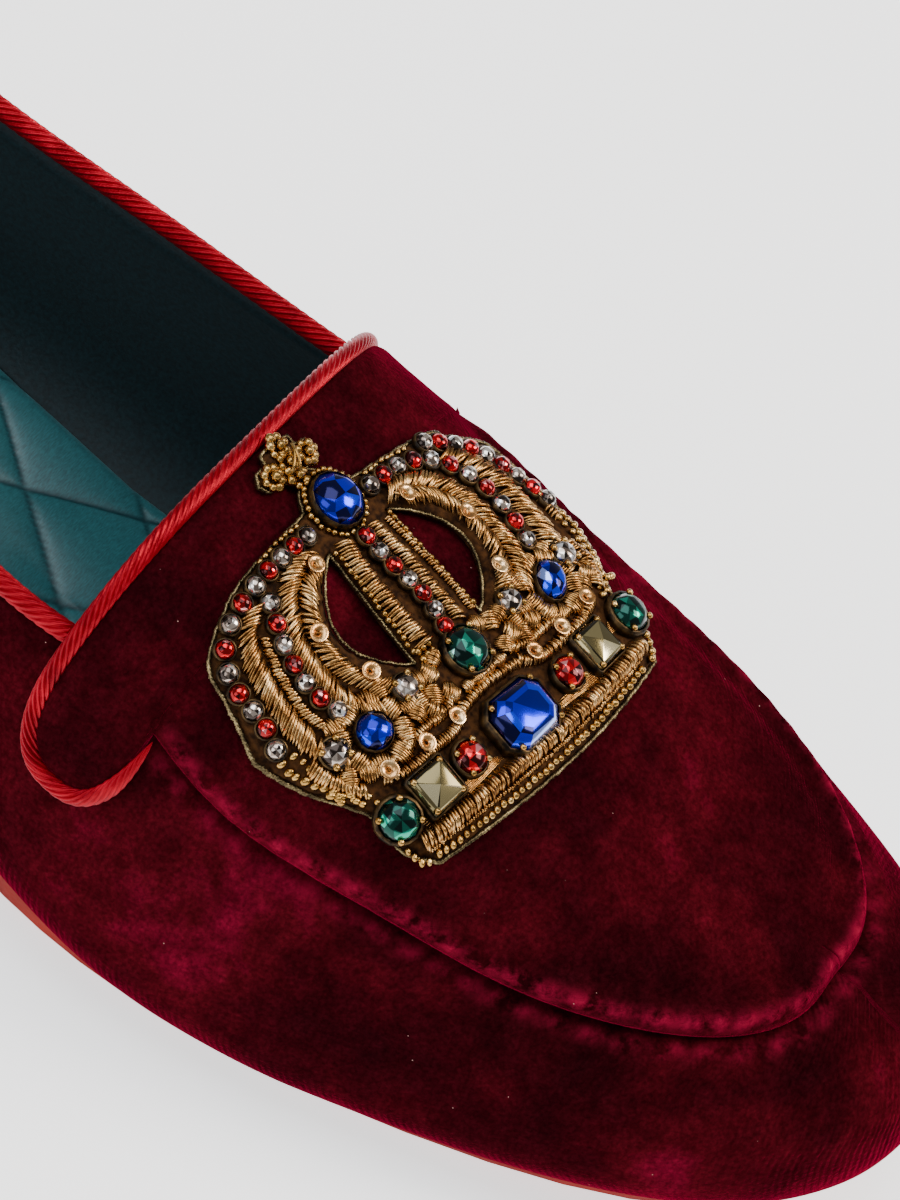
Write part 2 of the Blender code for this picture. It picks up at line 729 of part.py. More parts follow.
def stone_mesh(name, half_width, half_length, height, sides):
    """Cut stone: a turned profile of few steps, from its table down to its flat back."""
    profile = [(0.0, height), (0.62, height), (1.0, height * 0.5), (1.0, height * 0.35), (0.7, 0.0), (0.0, 0.0)]
    mesh = bpy.data.meshes.new(name)
    points = [(x * half_width * 0.001, 0.0, z * 0.001) for x, z in profile]
    mesh.from_pydata(points, [(k, k + 1) for k in range(len(points) - 1)], [])
    item = bpy.data.objects.new(name, mesh)
    screw = item.modifiers.new("turn", 'SCREW')
    screw.steps = round(sides)
    screw.render_steps = round(sides)
    screw.use_merge_vertices = True
    screw.merge_threshold = 1e-5
    return item, Matrix.Diagonal((1.0, half_length / half_width, 1.0, 1.0))


def place_stone(name, across, along, shape, collection, material):
    """Set a stone on the patch, its table facing out."""
    half_width, half_length, height, sides = shape
    item, stretch = stone_mesh(name, half_width, half_length, height, sides)
    lift = SHEET_GAP + APRON_THICK + 2 * CROWN_GAP + CROWN_THICK
    seat, normal = drape(across, along, lift)
    up = Vector(normal)
    ahead = Vector((0.0, 1.0, 0.0))
    ahead = (ahead - up * ahead.dot(up)).normalized()
    right = ahead.cross(up)
    turn = Matrix((right, ahead, up)).transposed().to_4x4()
    item.matrix_world = Matrix.Translation(Vector(seat) * 0.001) @ turn @ stretch
    item.data.materials.append(material)
    collection.objects.link(item)


def build_stones(collection, materials):
    """All cut stones: single ones on the crown's middle line, the others in pairs."""
    for name, (across, along, *shape) in STONES.items():
        material = materials[name]
        if across == 0:
            place_stone(name, 0.0, along, shape, collection, material)
            continue
        for side, word in ((INNER, "inner"), (OUTER, "outer")):
            place_stone(f"{name}_{word}", side * across, along, shape, collection, material)


def stand_on_origin(collection):
    """Move the whole shoe sideways so that the origin is below the middle of its box."""
    graph = bpy.context.evaluated_depsgraph_get()
    corners = []
    for item in collection.objects:
        solid = item.evaluated_get(graph).to_mesh()
        corners += [item.matrix_world @ vertex.co for vertex in solid.vertices]
    corners = np.array(corners)
    middle = (corners.min(axis=0) + corners.max(axis=0)) / 2
    for item in collection.objects:
        item.location.x -= middle[0]
        item.location.y -= middle[1]


def build_bindings(collection, material):
    """Grosgrain cord on the collar's rim, and another round the throat and the wings."""
    cord_object("collar_cord", resample(collar_path(), 64), collection, material)
    edge, normal, outwards = binding_path()
    side_step = CORD_RADIUS + 2 * GAP
    path = edge + outwards * side_step + normal * (CORD_RADIUS + 2 * GAP)
    cord_object("throat_cord", resample(path[1:-1], 60), collection, material)


def main():
    clear_scene()
    shoe = bpy.data.collections.new("velvet_slipper_loafer")
    bpy.context.scene.collection.children.link(shoe)
    velvet = finish_material("velvet_burgundy", (0.16, 0.004, 0.02), 0.8)
    grosgrain = finish_material("grosgrain_red", (0.45, 0.01, 0.015), 0.55)
    satin = finish_material("satin_teal", (0.03, 0.14, 0.16), 0.4)
    leather = finish_material("sole_leather", (0.42, 0.06, 0.02), 0.5)
    stack = finish_material("heel_leather", (0.05, 0.02, 0.015), 0.45)
    rubber = finish_material("lift_rubber", (0.02, 0.02, 0.02), 0.7)
    build_outsole(shoe, leather)
    build_heel(shoe, stack)
    build_top_lift(shoe, rubber)
    build_upper(shoe, velvet)
    build_insole(shoe, satin)
    build_apron(shoe, velvet)
    build_bindings(shoe, grosgrain)
    bullion = finish_material("bullion_gold", (0.38, 0.22, 0.09), 0.35, 0.9)
    sapphire = finish_material("glass_blue", (0.01, 0.03, 0.55), 0.05)
    emerald = finish_material("glass_green", (0.0, 0.12, 0.07), 0.05)
    ruby = finish_material("glass_red", (0.5, 0.0, 0.01), 0.05)
    smoke = finish_material("glass_smoke", (0.35, 0.34, 0.24), 0.05)
    build_crown_patch(shoe, bullion)
    build_crown_band(shoe, bullion)
    build_stones(shoe, {
        "stone_centre": sapphire,
        "stone_orb": sapphire,
        "stone_middle": emerald,
        "stone_red": ruby,
        "stone_square": smoke,
        "stone_green": emerald,
        "stone_blue": sapphire,
    })
    stand_on_origin(shoe)


main()
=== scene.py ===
# %% [markdown]
# # A velvet slipper loafer with an embroidered crown
#
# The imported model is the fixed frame: it says where the upper, the sole, the insole and each
# stone are. This lesson dresses it. Soft and sewn parts are drawn anew as dense surfaces, worked
# out from the same last (the foot shape that the shoe was pulled over), and the hard parts below
# keep their solids and get better finishes.

# %% Load the frame
import math

import bmesh
import bpy
import numpy as np
from mathutils import Matrix, Vector
from mathutils.geometry import delaunay_2d_cdt


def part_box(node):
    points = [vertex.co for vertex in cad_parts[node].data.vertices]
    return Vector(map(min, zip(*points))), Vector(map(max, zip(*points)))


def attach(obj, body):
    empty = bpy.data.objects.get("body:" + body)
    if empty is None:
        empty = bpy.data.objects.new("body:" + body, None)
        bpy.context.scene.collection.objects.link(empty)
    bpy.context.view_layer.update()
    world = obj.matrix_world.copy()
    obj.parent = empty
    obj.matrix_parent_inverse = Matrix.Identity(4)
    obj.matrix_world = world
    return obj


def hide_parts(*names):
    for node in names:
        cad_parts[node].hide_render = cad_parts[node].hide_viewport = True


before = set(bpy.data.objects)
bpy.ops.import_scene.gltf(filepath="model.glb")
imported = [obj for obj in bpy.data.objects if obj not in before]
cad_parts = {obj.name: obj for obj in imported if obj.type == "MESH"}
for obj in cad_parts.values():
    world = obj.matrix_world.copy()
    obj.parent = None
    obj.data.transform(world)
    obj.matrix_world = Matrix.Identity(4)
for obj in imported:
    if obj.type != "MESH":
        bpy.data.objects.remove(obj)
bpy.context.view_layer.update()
print("nodes:", sorted(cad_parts))

# %% [markdown]
# ## The last
#
# A shoe is pulled over a last, so every surface of the upper is a place on it. A table gives the
# last's sections from heel to toe. A place is named by its station along the sole's edge, its side
# and its rise from that edge (0) to the crest (1). The sizes repeat those of the solids, so that
# the new surfaces lie on the old ones.

# %% Sizes of the last, in millimetres
LENGTH = 288.0
BALL_WIDTH = 102.0
INSTEP = 84.0
FOREFOOT_SWING = 15.0
HEEL_SWING = 3.8
CREST_OFFSET = -3.4
WAIST_STATION = 0.48
CREST_TOE = 0.865
CREST_HEEL = 0.115
TOE_CAP = 0.70
HEEL_CAP = 0.13
TOE_POWER = 2.35
HEEL_POWER = 2.15
SIDE_POWER = 0.53
FAN_FRONT = 0.58
FAN_REAR = 0.34
SOLE_THICK = 3.6
GAP = 0.3
WALL = 2.0
THROAT = 0.5545
COLLAR_THROAT = 54.0
COLLAR_HEEL = 64.0
COLLAR_DIP = 4.0
CORD_RADIUS = 1.6
INNER = 1
OUTER = -1

SECTION_COLUMNS = ("station", "inner_half", "outer_half", "top", "tread", "bulge", "undercut")
SECTIONS = np.array((
    (0.00, 0.325, 0.325, 1.420, 15.0, 14.0, 24.0),
    (0.15, 0.330, 0.330, 1.400, 14.5, 14.0, 26.0),
    (0.30, 0.322, 0.339, 1.330, 12.5, 15.0, 36.0),
    (0.42, 0.350, 0.365, 1.170, 7.5, 17.0, 50.0),
    (0.54, 0.395, 0.460, 0.848, 2.4, 17.0, 54.0),
    (0.62, 0.452, 0.489, 0.757, 0.3, 13.0, 42.0),
    (0.70, 0.451, 0.473, 0.703, -0.25, 9.5, 34.0),
    (0.78, 0.457, 0.434, 0.635, 0.45, 9.0, 34.0),
    (0.87, 0.457, 0.408, 0.537, 2.5, 9.0, 34.0),
    (1.00, 0.437, 0.400, 0.427, 7.0, 9.5, 32.0),
))


# %% [markdown]
# ## Curves through the table
#
# Ten sections are enough if a smooth curve runs through them. A natural cubic spline bends as little
# as it can between its knots, as a thin strip of wood does round the pins of a drawing board.

# %% Curves through the table
def natural_spline(knots, values, at):
    """Cubic through the knots with no bend at either end: solve for the bends, then blend."""
    count = len(knots)
    step = np.diff(knots)
    system = np.eye(count)
    right = np.zeros(count)
    for i in range(1, count - 1):
        system[i, i - 1:i + 2] = step[i - 1], 2 * (step[i - 1] + step[i]), step[i]
        slopes = (values[i + 1] - values[i]) / step[i] - (values[i] - values[i - 1]) / step[i - 1]
        right[i] = 6 * slopes
    bend = np.linalg.solve(system, right)
    at = np.asarray(at, float)
    k = np.clip(np.searchsorted(knots, at) - 1, 0, count - 2)
    a = (knots[k + 1] - at) / step[k]
    b = (at - knots[k]) / step[k]
    curve = ((a**3 - a) * bend[k] + (b**3 - b) * bend[k + 1]) * step[k]**2 / 6
    return a * values[k] + b * values[k + 1] + curve


def section(name, station):
    """One column of the section table, at any station."""
    return natural_spline(SECTIONS[:, 0], SECTIONS[:, SECTION_COLUMNS.index(name)], station)


def axis_x(station):
    """Centre line: a parabola towards the big toe ahead of the waist, and a slighter one behind."""
    ahead = np.clip((station - WAIST_STATION) / (1 - WAIST_STATION), 0, 1)
    behind = np.clip((WAIST_STATION - station) / WAIST_STATION, 0, 1)
    return FOREFOOT_SWING * ahead**2 + HEEL_SWING * behind**2


def cap_share(station):
    """Superellipse quarter at each end: (1 - t^p)^(1/p), with t from 0 at the cap's start to 1."""
    toe = np.clip((station - TOE_CAP) / (1 - TOE_CAP), 0, 1)
    heel = np.clip((HEEL_CAP - station) / HEEL_CAP, 0, 1)
    return (1 - toe**TOE_POWER)**(1 / TOE_POWER) * (1 - heel**HEEL_POWER)**(1 / HEEL_POWER)


def widest_point(station, side):
    """Plan point of the widest outline: the centre line plus half the width times the cap."""
    half = np.where(side > 0, section("inner_half", station), section("outer_half", station))
    return axis_x(station) + side * half * BALL_WIDTH * cap_share(station), LENGTH * (0.5 - station)


# %% [markdown]
# ## Ribs, crest and surface
#
# A rib runs from the sole's edge up the side to the crest, the line along the top. Between them the
# surface follows powers of sine and cosine, so one formula makes an upright heel and a low, broad
# toe, and its undercut rolls in under the widest level, as a lasted upper does.

# %% Ribs, crest and surface
def crest_share(station):
    """Station where a rib meets the crest: it slows down by a power, so ribs fan round both ends."""
    reach = CREST_TOE - FAN_FRONT
    power = (1 - FAN_FRONT) / reach
    front = np.clip((station - FAN_FRONT) / (1 - FAN_FRONT), 0, 1)
    ahead = FAN_FRONT + reach * (1 - (1 - front)**power)
    reach_back = FAN_REAR - CREST_HEEL
    power_back = FAN_REAR / reach_back
    rear = np.clip((FAN_REAR - station) / FAN_REAR, 0, 1)
    behind = FAN_REAR - reach_back * (1 - (1 - rear)**power_back)
    return np.where(station > FAN_FRONT, ahead, np.where(station < FAN_REAR, behind, station))


def crest_point(share):
    """Plan point of the crest line: the centre line with an offset that fades towards the toe."""
    offset = CREST_OFFSET * np.clip((1 - share) / 0.4, 0, 1)
    return axis_x(share) + offset, LENGTH * (0.5 - share)


def crest_height(share):
    """Height of the crest: the table's share of the instep."""
    return section("top", share) * INSTEP


def tread_height(station):
    """The sole's underside above the floor: never below zero."""
    return np.maximum(section("tread", station), 0)


def feather_height(station):
    """Lower edge of the upper: the tread, the sole's thickness and a hair of clearance."""
    return tread_height(station) + SOLE_THICK + GAP


# %% Surface of the last
def undercut(station):
    """Angle by which the wall rolls under its widest level."""
    return np.radians(section("undercut", station))


def shoe_point(station, side, rise):
    """Point of the last: cos(a)^p sideways, sin(a) upwards, a running from the undercut to 90."""
    station, side, rise = np.broadcast_arrays(*(np.asarray(v, float) for v in (station, side, rise)))
    wide_x, wide_y = widest_point(station, side)
    share = crest_share(station)
    crest_x, crest_y = crest_point(share)
    top = crest_height(share)
    slope = (crest_height(share + 1e-3) - crest_height(share - 1e-3)) / (-2e-3 * LENGTH)
    under = undercut(station)
    angle = rise * (math.pi / 2 + under) - under
    reach = np.abs(np.cos(angle))**SIDE_POWER
    x = crest_x + (wide_x - crest_x) * reach
    y = crest_y + (wide_y - crest_y) * reach
    lift = np.sin(angle)
    bulge = section("bulge", station)
    wide_z = feather_height(station) + bulge
    above = wide_z + (top - wide_z) * lift + slope * (y - crest_y) * lift**2
    below = wide_z + bulge * lift / np.sin(under)
    return np.stack([x, y, np.where(lift > 0, above, below)], -1)


def shoe_normal(station, side, rise):
    """Outward normal: cross product of the steps along and up the surface."""
    step = 2e-3
    station, side, rise = np.broadcast_arrays(*(np.asarray(v, float) for v in (station, side, rise)))
    along = (shoe_point(np.clip(station + step, 0, 1), side, rise)
             - shoe_point(np.clip(station - step, 0, 1), side, rise))
    rising = (shoe_point(station, side, np.clip(rise + step, 0, 1))
              - shoe_point(station, side, np.clip(rise - step, 0, 1)))
    normal = np.cross(along, rising) * -side[..., None]
    return normal / np.maximum(np.linalg.norm(normal, axis=-1, keepdims=True), 1e-9)


# %% [markdown]
# ## Collar, throat and seam
#
# Three lines are drawn on the last: the collar, the throat across the instep, and the seam that joins
# the apron. The wings are short tongues of the apron that hang down both sides at the throat.

# %% Collar, throat and the apron's seam
SEAM_COLUMNS = ("station", "outer_rise", "inner_rise")
SEAM = np.array((
    (0.60, 0.670, 0.710),
    (0.66, 0.622, 0.730),
    (0.74, 0.623, 0.748),
    (0.81, 0.628, 0.752),
    (0.87, 0.670, 0.766),
    (0.93, 0.757, 0.824),
    (1.00, 0.902, 0.902),
))
WING_END = 0.605
WING_DROP = 0.155
WING_CORNER = 2.8


def collar_height(station):
    """Topline height: it climbs to the heel by a power of 1.5, less one shallow sine dip."""
    share = np.clip(station / THROAT, 0, 1)
    climb = (COLLAR_HEEL - COLLAR_THROAT) * (1 - share)**1.5
    return COLLAR_THROAT + climb - COLLAR_DIP * np.sin(math.pi * share)


def collar_rise(station, side):
    """Rise at which the surface reaches the collar's height, by halving."""
    low = np.full(np.shape(station), 0.2)
    high = np.ones(np.shape(station))
    for _ in range(40):
        middle = (low + high) / 2
        below = shoe_point(station, side, middle)[..., 2] < collar_height(station)
        low = np.where(below, middle, low)
        high = np.where(below, high, middle)
    return (low + high) / 2


def throat_corner(side):
    """Rise at which the collar meets the throat."""
    return float(collar_rise(np.array([THROAT]), np.array([side]))[0])


CORNER = {side: throat_corner(side) for side in (INNER, OUTER)}

# %% Wing and seam
def shoulder_rise(station, side):
    """Straight line in rise from the throat's corner to the seam's first point."""
    column = SEAM_COLUMNS.index("inner_rise" if side > 0 else "outer_rise")
    across = np.clip((station - THROAT) / (WING_END - THROAT), 0, 1)
    return CORNER[side] + (SEAM[0, column] - CORNER[side]) * across, across


def seam_rise(station, side):
    """Apron's lower edge: the shoulder less a superellipse tongue on the wing, then the seam's spline."""
    column = SEAM_COLUMNS.index("inner_rise" if side > 0 else "outer_rise")
    seam = natural_spline(SEAM[:, 0], SEAM[:, column], np.maximum(station, WING_END))
    shoulder, across = shoulder_rise(station, side)
    tongue = (1 - np.abs(2 * across - 1)**WING_CORNER)**(1 / WING_CORNER)
    return np.where(station < WING_END, shoulder - WING_DROP * tongue, seam)


# %% Place of the model
low, high = (np.array(corner) * 1000 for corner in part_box("upper"))
edge = {side: widest_point(np.linspace(0.5, 0.95, 4501), side)[0] for side in (INNER, OUTER)}
SHIFT = np.array([(low[0] + high[0]) / 2 - (edge[INNER].max() + edge[OUTER].min()) / 2,
                  (low[1] + high[1]) / 2, 0.0])
print("the model stands this far from the table's axis, mm:", SHIFT.round(3))

# %% [markdown]
# ## Camera, floor and light
#
# The picture is a long-lens product shot, rolled by about thirty degrees, from the outer side and
# above. The camera's place was found by matching points of the outline and the crown. The shoe
# stands on a pale sweep of paper under large soft lamps, so shadows are faint.

# %% Camera
PHOTO_HEIGHT = 1200
TARGET = np.array([21.91, -45.62, 40.0]) + SHIFT
AZIMUTH, ELEVATION, ROLL = (math.radians(angle) for angle in (-79.99, 46.45, 30.22))
DISTANCE = 1002.1
FOCAL_PIXELS = 6984.2

back = np.array([math.sin(AZIMUTH) * math.cos(ELEVATION), -math.cos(AZIMUTH) * math.cos(ELEVATION),
                 math.sin(ELEVATION)])
right = np.cross(-back, (0.0, 0.0, 1.0))
right /= np.linalg.norm(right)
up = np.cross(right, -back)
camera_x = right * math.cos(ROLL) + up * math.sin(ROLL)
camera_y = -right * math.sin(ROLL) + up * math.cos(ROLL)
lens = bpy.data.cameras.new("camera")
lens.sensor_fit = 'VERTICAL'
lens.sensor_height = 36.0
lens.lens = FOCAL_PIXELS / PHOTO_HEIGHT * lens.sensor_height
camera = bpy.data.objects.new("camera", lens)
bpy.context.scene.collection.objects.link(camera)
turn = Matrix((camera_x, camera_y, back)).transposed().to_4x4()
camera.matrix_world = Matrix.Translation(Vector((TARGET + back * DISTANCE) * 0.001)) @ turn
bpy.context.scene.camera = camera
print("lens, mm:", round(lens.lens, 1))


# %% [markdown]
# ## Colours and nodes
#
# A colour is noted as an sRGB code, and a renderer works with linear light, so one function turns one
# into the other. Materials are built from nodes, and one small function adds a node with its settings
# and links. A pattern's scale is the number of its features in a metre.

# %% Colours and nodes
def linear(code, alpha=1.0):
    """sRGB hex to linear: c/12.92 below 0.04045, else ((c+0.055)/1.055)^2.4."""
    channels = [int(code[k:k + 2], 16) / 255 for k in (1, 3, 5)]
    return tuple(c / 12.92 if c <= 0.04045 else ((c + 0.055) / 1.055)**2.4 for c in channels) + (alpha,)


def add_node(tree, kind, settings=None, links=None):
    """Add one node: settings are attributes or input values, links are its inputs' sources."""
    node = tree.nodes.new(kind)
    for name, value in (settings or {}).items():
        if isinstance(name, str) and hasattr(node, name):
            setattr(node, name, value)
        else:
            node.inputs[name].default_value = value
    for name, source in (links or {}).items():
        tree.links.new(source, node.inputs[name])
    return node


def new_material(name, **values):
    """Principled material: socket values by name, underscores for spaces."""
    material = bpy.data.materials.new(name)
    material.use_nodes = True
    shader = material.node_tree.nodes["Principled BSDF"]
    for key, value in values.items():
        shader.inputs[key.replace("_", " ")].default_value = value
    return material, material.node_tree, shader


def per_metre(size):
    """Scale of a pattern whose features are this many mm across."""
    return 1000.0 / size


def set_ramp(node, stops):
    """Colour ramp from (place, hex) stops."""
    elements = node.color_ramp.elements
    while len(elements) < len(stops):
        elements.new(0.5)
    for element, (place, code) in zip(elements, stops):
        element.position = place
        element.color = linear(code)


# %% [markdown]
# ## Floor and lamps
#
# The paper glows slightly, as white paper does under even light, so the shadows stay faint. A warm
# key lamp in front, a broad one above and a weak one at the side give the velvet its bright edges.

# %% Floor and lamps
def area_lamp(name, place, size, power, colour, aim=(0.0, -0.04, 0.03)):
    """Square soft lamp at place, facing aim."""
    lamp = bpy.data.lights.new(name, 'AREA')
    lamp.size = size
    lamp.energy = power
    lamp.color = linear(colour)[:3]
    item = bpy.data.objects.new(name, lamp)
    bpy.context.scene.collection.objects.link(item)
    turn = (Vector(aim) - Vector(place)).to_track_quat('-Z', 'Y').to_matrix().to_4x4()
    item.matrix_world = Matrix.Translation(Vector(place)) @ turn


# Matt seamless paper: no gloss, and its glow evens out the shadows.
paper, tree, shader = new_material("paper_sweep", Roughness=0.9, Specular_IOR_Level=0.1,
                                   Emission_Color=linear("#ffffff"), Emission_Strength=1.3)
spots = add_node(tree, 'ShaderNodeTexCoord')
tone = add_node(tree, 'ShaderNodeTexNoise', {"Scale": per_metre(500), "Detail": 2.0},
                {"Vector": spots.outputs["Object"]})
ramp = add_node(tree, 'ShaderNodeValToRGB', {}, {"Fac": tone.outputs["Fac"]})
set_ramp(ramp, ((0.3, "#f0f0f0"), (0.7, "#f4f4f3")))
tree.links.new(ramp.outputs["Color"], shader.inputs["Base Color"])
sheet = bpy.data.meshes.new("floor")
reach = 3.0
floor_corners = [(-reach, -reach, 0), (reach, -reach, 0), (reach, reach, 0), (-reach, reach, 0)]
sheet.from_pydata(floor_corners, [], [(0, 1, 2, 3)])
sheet.materials.append(paper)
floor = bpy.data.objects.new("floor", sheet)
bpy.context.scene.collection.objects.link(floor)

world = bpy.data.worlds.new("studio")
bpy.context.scene.world = world
world.use_nodes = True
world.node_tree.nodes["Background"].inputs["Color"].default_value = linear("#f2f4f8")
world.node_tree.nodes["Background"].inputs["Strength"].default_value = 0.36
area_lamp("key", (0.55, -0.75, 0.95), 0.55, 16.0, "#fff6ec")
area_lamp("top", (-0.1, 0.25, 1.3), 1.0, 13.5, "#f6f9ff")
area_lamp("side", (-0.9, 0.25, 0.55), 0.6, 3.5, "#f4f7ff")


# %% [markdown]
# ## From arrays to meshes
#
# Each new surface is a grid of points from numpy. One helper turns grids into a mesh, with a UV map
# measured in metres along and across, and another repeats a small form hundreds of times by adding
# whole arrays. Points stay in millimetres until the mesh is filled.

# %% Mesh helpers
def fill_mesh(name, points, faces, material, uv=None, shade=True):
    """Object at the origin: points in mm (n, 3), faces of k corners (m, k), a UV per vertex in mm."""
    mesh = bpy.data.meshes.new(name)
    points = np.asarray(points, float).reshape(-1, 3) + SHIFT
    faces = np.asarray(faces, np.int32)
    mesh.vertices.add(len(points))
    mesh.vertices.foreach_set("co", (points * 0.001).ravel())
    mesh.loops.add(faces.size)
    mesh.loops.foreach_set("vertex_index", faces.ravel())
    mesh.polygons.add(len(faces))
    mesh.polygons.foreach_set("loop_start", np.arange(len(faces), dtype=np.int32) * faces.shape[1])
    mesh.update(calc_edges=True)
    if uv is not None:
        layer = mesh.uv_layers.new(name="run")
        corner_uv = np.asarray(uv, float).reshape(-1, 2)[faces.ravel()] * 0.001
        layer.data.foreach_set("uv", corner_uv.ravel())
    if shade:
        mesh.shade_smooth()
    mesh.validate()
    mesh.materials.append(material)
    item = bpy.data.objects.new(name, mesh)
    bpy.context.scene.collection.objects.link(item)
    return item


def grid_faces(rows, columns, wrap=False, flip=False, start=0):
    """Corners of a grid's cells; wrap joins the last column to the first."""
    across = np.arange(columns if wrap else columns - 1)
    a = np.arange(rows - 1)[:, None] * columns + across + start
    b = np.arange(rows - 1)[:, None] * columns + (across + 1) % columns + start
    cells = np.stack([a, b, b + columns, a + columns], -1).reshape(-1, 4)
    return cells[:, ::-1] if flip else cells


# %% Weld and thicken
def weld(item, distance=0.02):
    """Merge points closer than distance mm, as where a grid closes on itself or meets a pole."""
    work = bmesh.new()
    work.from_mesh(item.data)
    bmesh.ops.remove_doubles(work, verts=work.verts, dist=distance * 0.001)
    bmesh.ops.dissolve_degenerate(work, dist=1e-7, edges=work.edges)
    work.to_mesh(item.data)
    work.free()
    return item


def thicken(item, thickness, offset=-1.0):
    """Give an open surface its thickness in mm; offset -1 grows it inwards."""
    modifier = item.modifiers.new("thickness", 'SOLIDIFY')
    modifier.thickness = thickness * 0.001
    modifier.offset = offset
    modifier.use_even_offset = True
    modifier.thickness_clamp = 1.0
    return item


# %% Smooth noise
def wave_noise(u, v, seed, size, octaves=3):
    """Smooth noise from -1 to 1: sums of sine waves in seeded directions, halved in size each octave."""
    dice = np.random.default_rng(seed)
    total = np.zeros(np.broadcast(u, v).shape)
    weight = 0.0
    for octave in range(octaves):
        for _ in range(4):
            angle, phase = dice.uniform(0, 2 * math.pi, 2)
            pace = 2 * math.pi / size * 2**octave * dice.uniform(0.7, 1.3)
            total += np.sin((u * math.cos(angle) + v * math.sin(angle)) * pace + phase) / 2**octave
        weight += 2.2 / 2**octave
    return total / weight


# %% [markdown]
# ## Velvet
#
# The upper is a deep burgundy pile velvet. Seen straight on, the pile swallows light and is almost
# black red; seen along the surface, fibre tips catch it and it turns crimson. Sheen gives that rim
# glow, low-frequency noise gives the crushed patches, fine noise gives the nap, faint lines give the
# woven ribs of the ground cloth and a few specks give lint. A photograph of velvet would be simpler,
# but it would fix the light in place.

# %% Velvet material
def mark_points(item, name, values):
    """Store one number per vertex, before the mesh is welded."""
    mark = item.data.attributes.new(name, 'FLOAT', 'POINT')
    mark.data.foreach_set("value", np.asarray(values, np.float32).ravel())


# Sizes of the cloth's patterns in mm. Real nap is finer, and is drawn as coarse as it needs to show.
RIB_PITCH = 1.1
LINT_PITCH = 2.6
PATCH_SIZE = 29.41
CRUSH_SIZE = 3.846
NAP_SIZE = 0.7143
STREAK_SIZE = 1.111
# A colour mix keeps its second colour in input 7 and gives its result at output 2.
SECOND_COLOUR = 7
MIXED_COLOUR = 2


def velvet_material(name, rib_strength):
    """Cotton pile velvet: its fibres scatter light, so it has no gloss, only a glow along its edges."""
    material, tree, shader = new_material(
        name, Roughness=0.9, Specular_IOR_Level=0.0, Sheen_Weight=0.9, Sheen_Roughness=0.26,
        Sheen_Tint=linear("#c81446"))
    place = add_node(tree, 'ShaderNodeTexCoord').outputs["Object"]
    nap = add_node(tree, 'ShaderNodeTexNoise',
                   {"Scale": per_metre(NAP_SIZE), "Detail": 3.0, "Roughness": 0.65}, {"Vector": place})
    tree.links.new(velvet_colour(tree, place, nap), shader.inputs["Base Color"])
    tree.links.new(velvet_relief(tree, nap, rib_strength), shader.inputs["Normal"])
    return material


# %% Velvet colour
def velvet_colour(tree, place, nap):
    """Ground colour by crushed patch, times nap and crush, brightened by painted sheen at the seam, with
    lint.
    """
    patches = add_node(tree, 'ShaderNodeTexNoise',
                       {"Scale": per_metre(PATCH_SIZE), "Detail": 8.0, "Roughness": 0.62,
                        "Distortion": 0.25}, {"Vector": place})
    ground = add_node(tree, 'ShaderNodeValToRGB', {}, {"Fac": patches.outputs["Fac"]})
    set_ramp(ground, ((0.34, "#200408"), (0.48, "#2e050b"), (0.60, "#420811"), (0.76, "#6a0d24")))
    flecks = add_node(tree, 'ShaderNodeMapRange',
                      {"From Min": 0.35, "From Max": 0.75, "To Min": 0.55, "To Max": 1.5},
                      {"Value": nap.outputs["Fac"]})
    crush = add_node(tree, 'ShaderNodeTexNoise',
                     {"Scale": per_metre(CRUSH_SIZE), "Detail": 5.0, "Roughness": 0.7}, {"Vector": place})
    crushed = add_node(tree, 'ShaderNodeMapRange',
                       {"From Min": 0.35, "From Max": 0.70, "To Min": 0.70, "To Max": 1.45},
                       {"Value": crush.outputs["Fac"]})
    tone = add_node(tree, 'ShaderNodeMath', {"operation": 'MULTIPLY'},
                    {0: flecks.outputs["Result"], 1: crushed.outputs["Result"]})
    shaded = add_node(tree, 'ShaderNodeMix',
                      {"data_type": 'RGBA', "blend_type": 'MULTIPLY', "Factor": 0.85},
                      {"A": ground.outputs["Color"], "B": tone.outputs[0]})
    # Painted sheen: along the seam's ridge the colour is mixed towards a brighter crimson, #86142f, as where
    # the pile catches the light.
    seam_sheen_mark = add_node(tree, 'ShaderNodeAttribute', {"attribute_name": "ridge"})
    seam_sheen_share = add_node(tree, 'ShaderNodeMapRange', {"From Min": 0.40, "From Max": 0.62},
                   {"Value": crush.outputs["Fac"]})
    seam_sheen_share = add_node(tree, 'ShaderNodeMath', {"operation": 'MULTIPLY'},
                   {0: seam_sheen_share.outputs["Result"], 1: seam_sheen_mark.outputs["Fac"]})
    raised = add_node(tree, 'ShaderNodeMix', {"data_type": 'RGBA'},
                      {"Factor": seam_sheen_share.outputs[0], "A": shaded.outputs[MIXED_COLOUR]})
    raised.inputs[SECOND_COLOUR].default_value = linear("#86142f")
    colour = add_node(tree, 'ShaderNodeMix', {"data_type": 'RGBA'},
                      {"Factor": lint_specks(tree, place), "A": raised.outputs[MIXED_COLOUR]})
    colour.inputs[SECOND_COLOUR].default_value = linear("#c89a90")
    return colour.outputs[MIXED_COLOUR]


# %% Lint
def lint_specks(tree, place):
    """Small round dots in about a fifth of the cells of a random cell pattern."""
    lint = add_node(tree, 'ShaderNodeTexVoronoi', {"Scale": per_metre(LINT_PITCH)}, {"Vector": place})
    dots = add_node(tree, 'ShaderNodeMapRange', {"From Min": 0.042, "From Max": 0.02},
                    {"Value": lint.outputs["Distance"]})
    chance = add_node(tree, 'ShaderNodeSeparateColor', {}, {"Color": lint.outputs["Color"]})
    rare = add_node(tree, 'ShaderNodeMath', {"operation": 'GREATER_THAN', 1: 0.82},
                    {0: chance.outputs["Red"]})
    specks = add_node(tree, 'ShaderNodeMath', {"operation": 'MULTIPLY'},
                      {0: dots.outputs["Result"], 1: rare.outputs[0]})
    return specks.outputs[0]


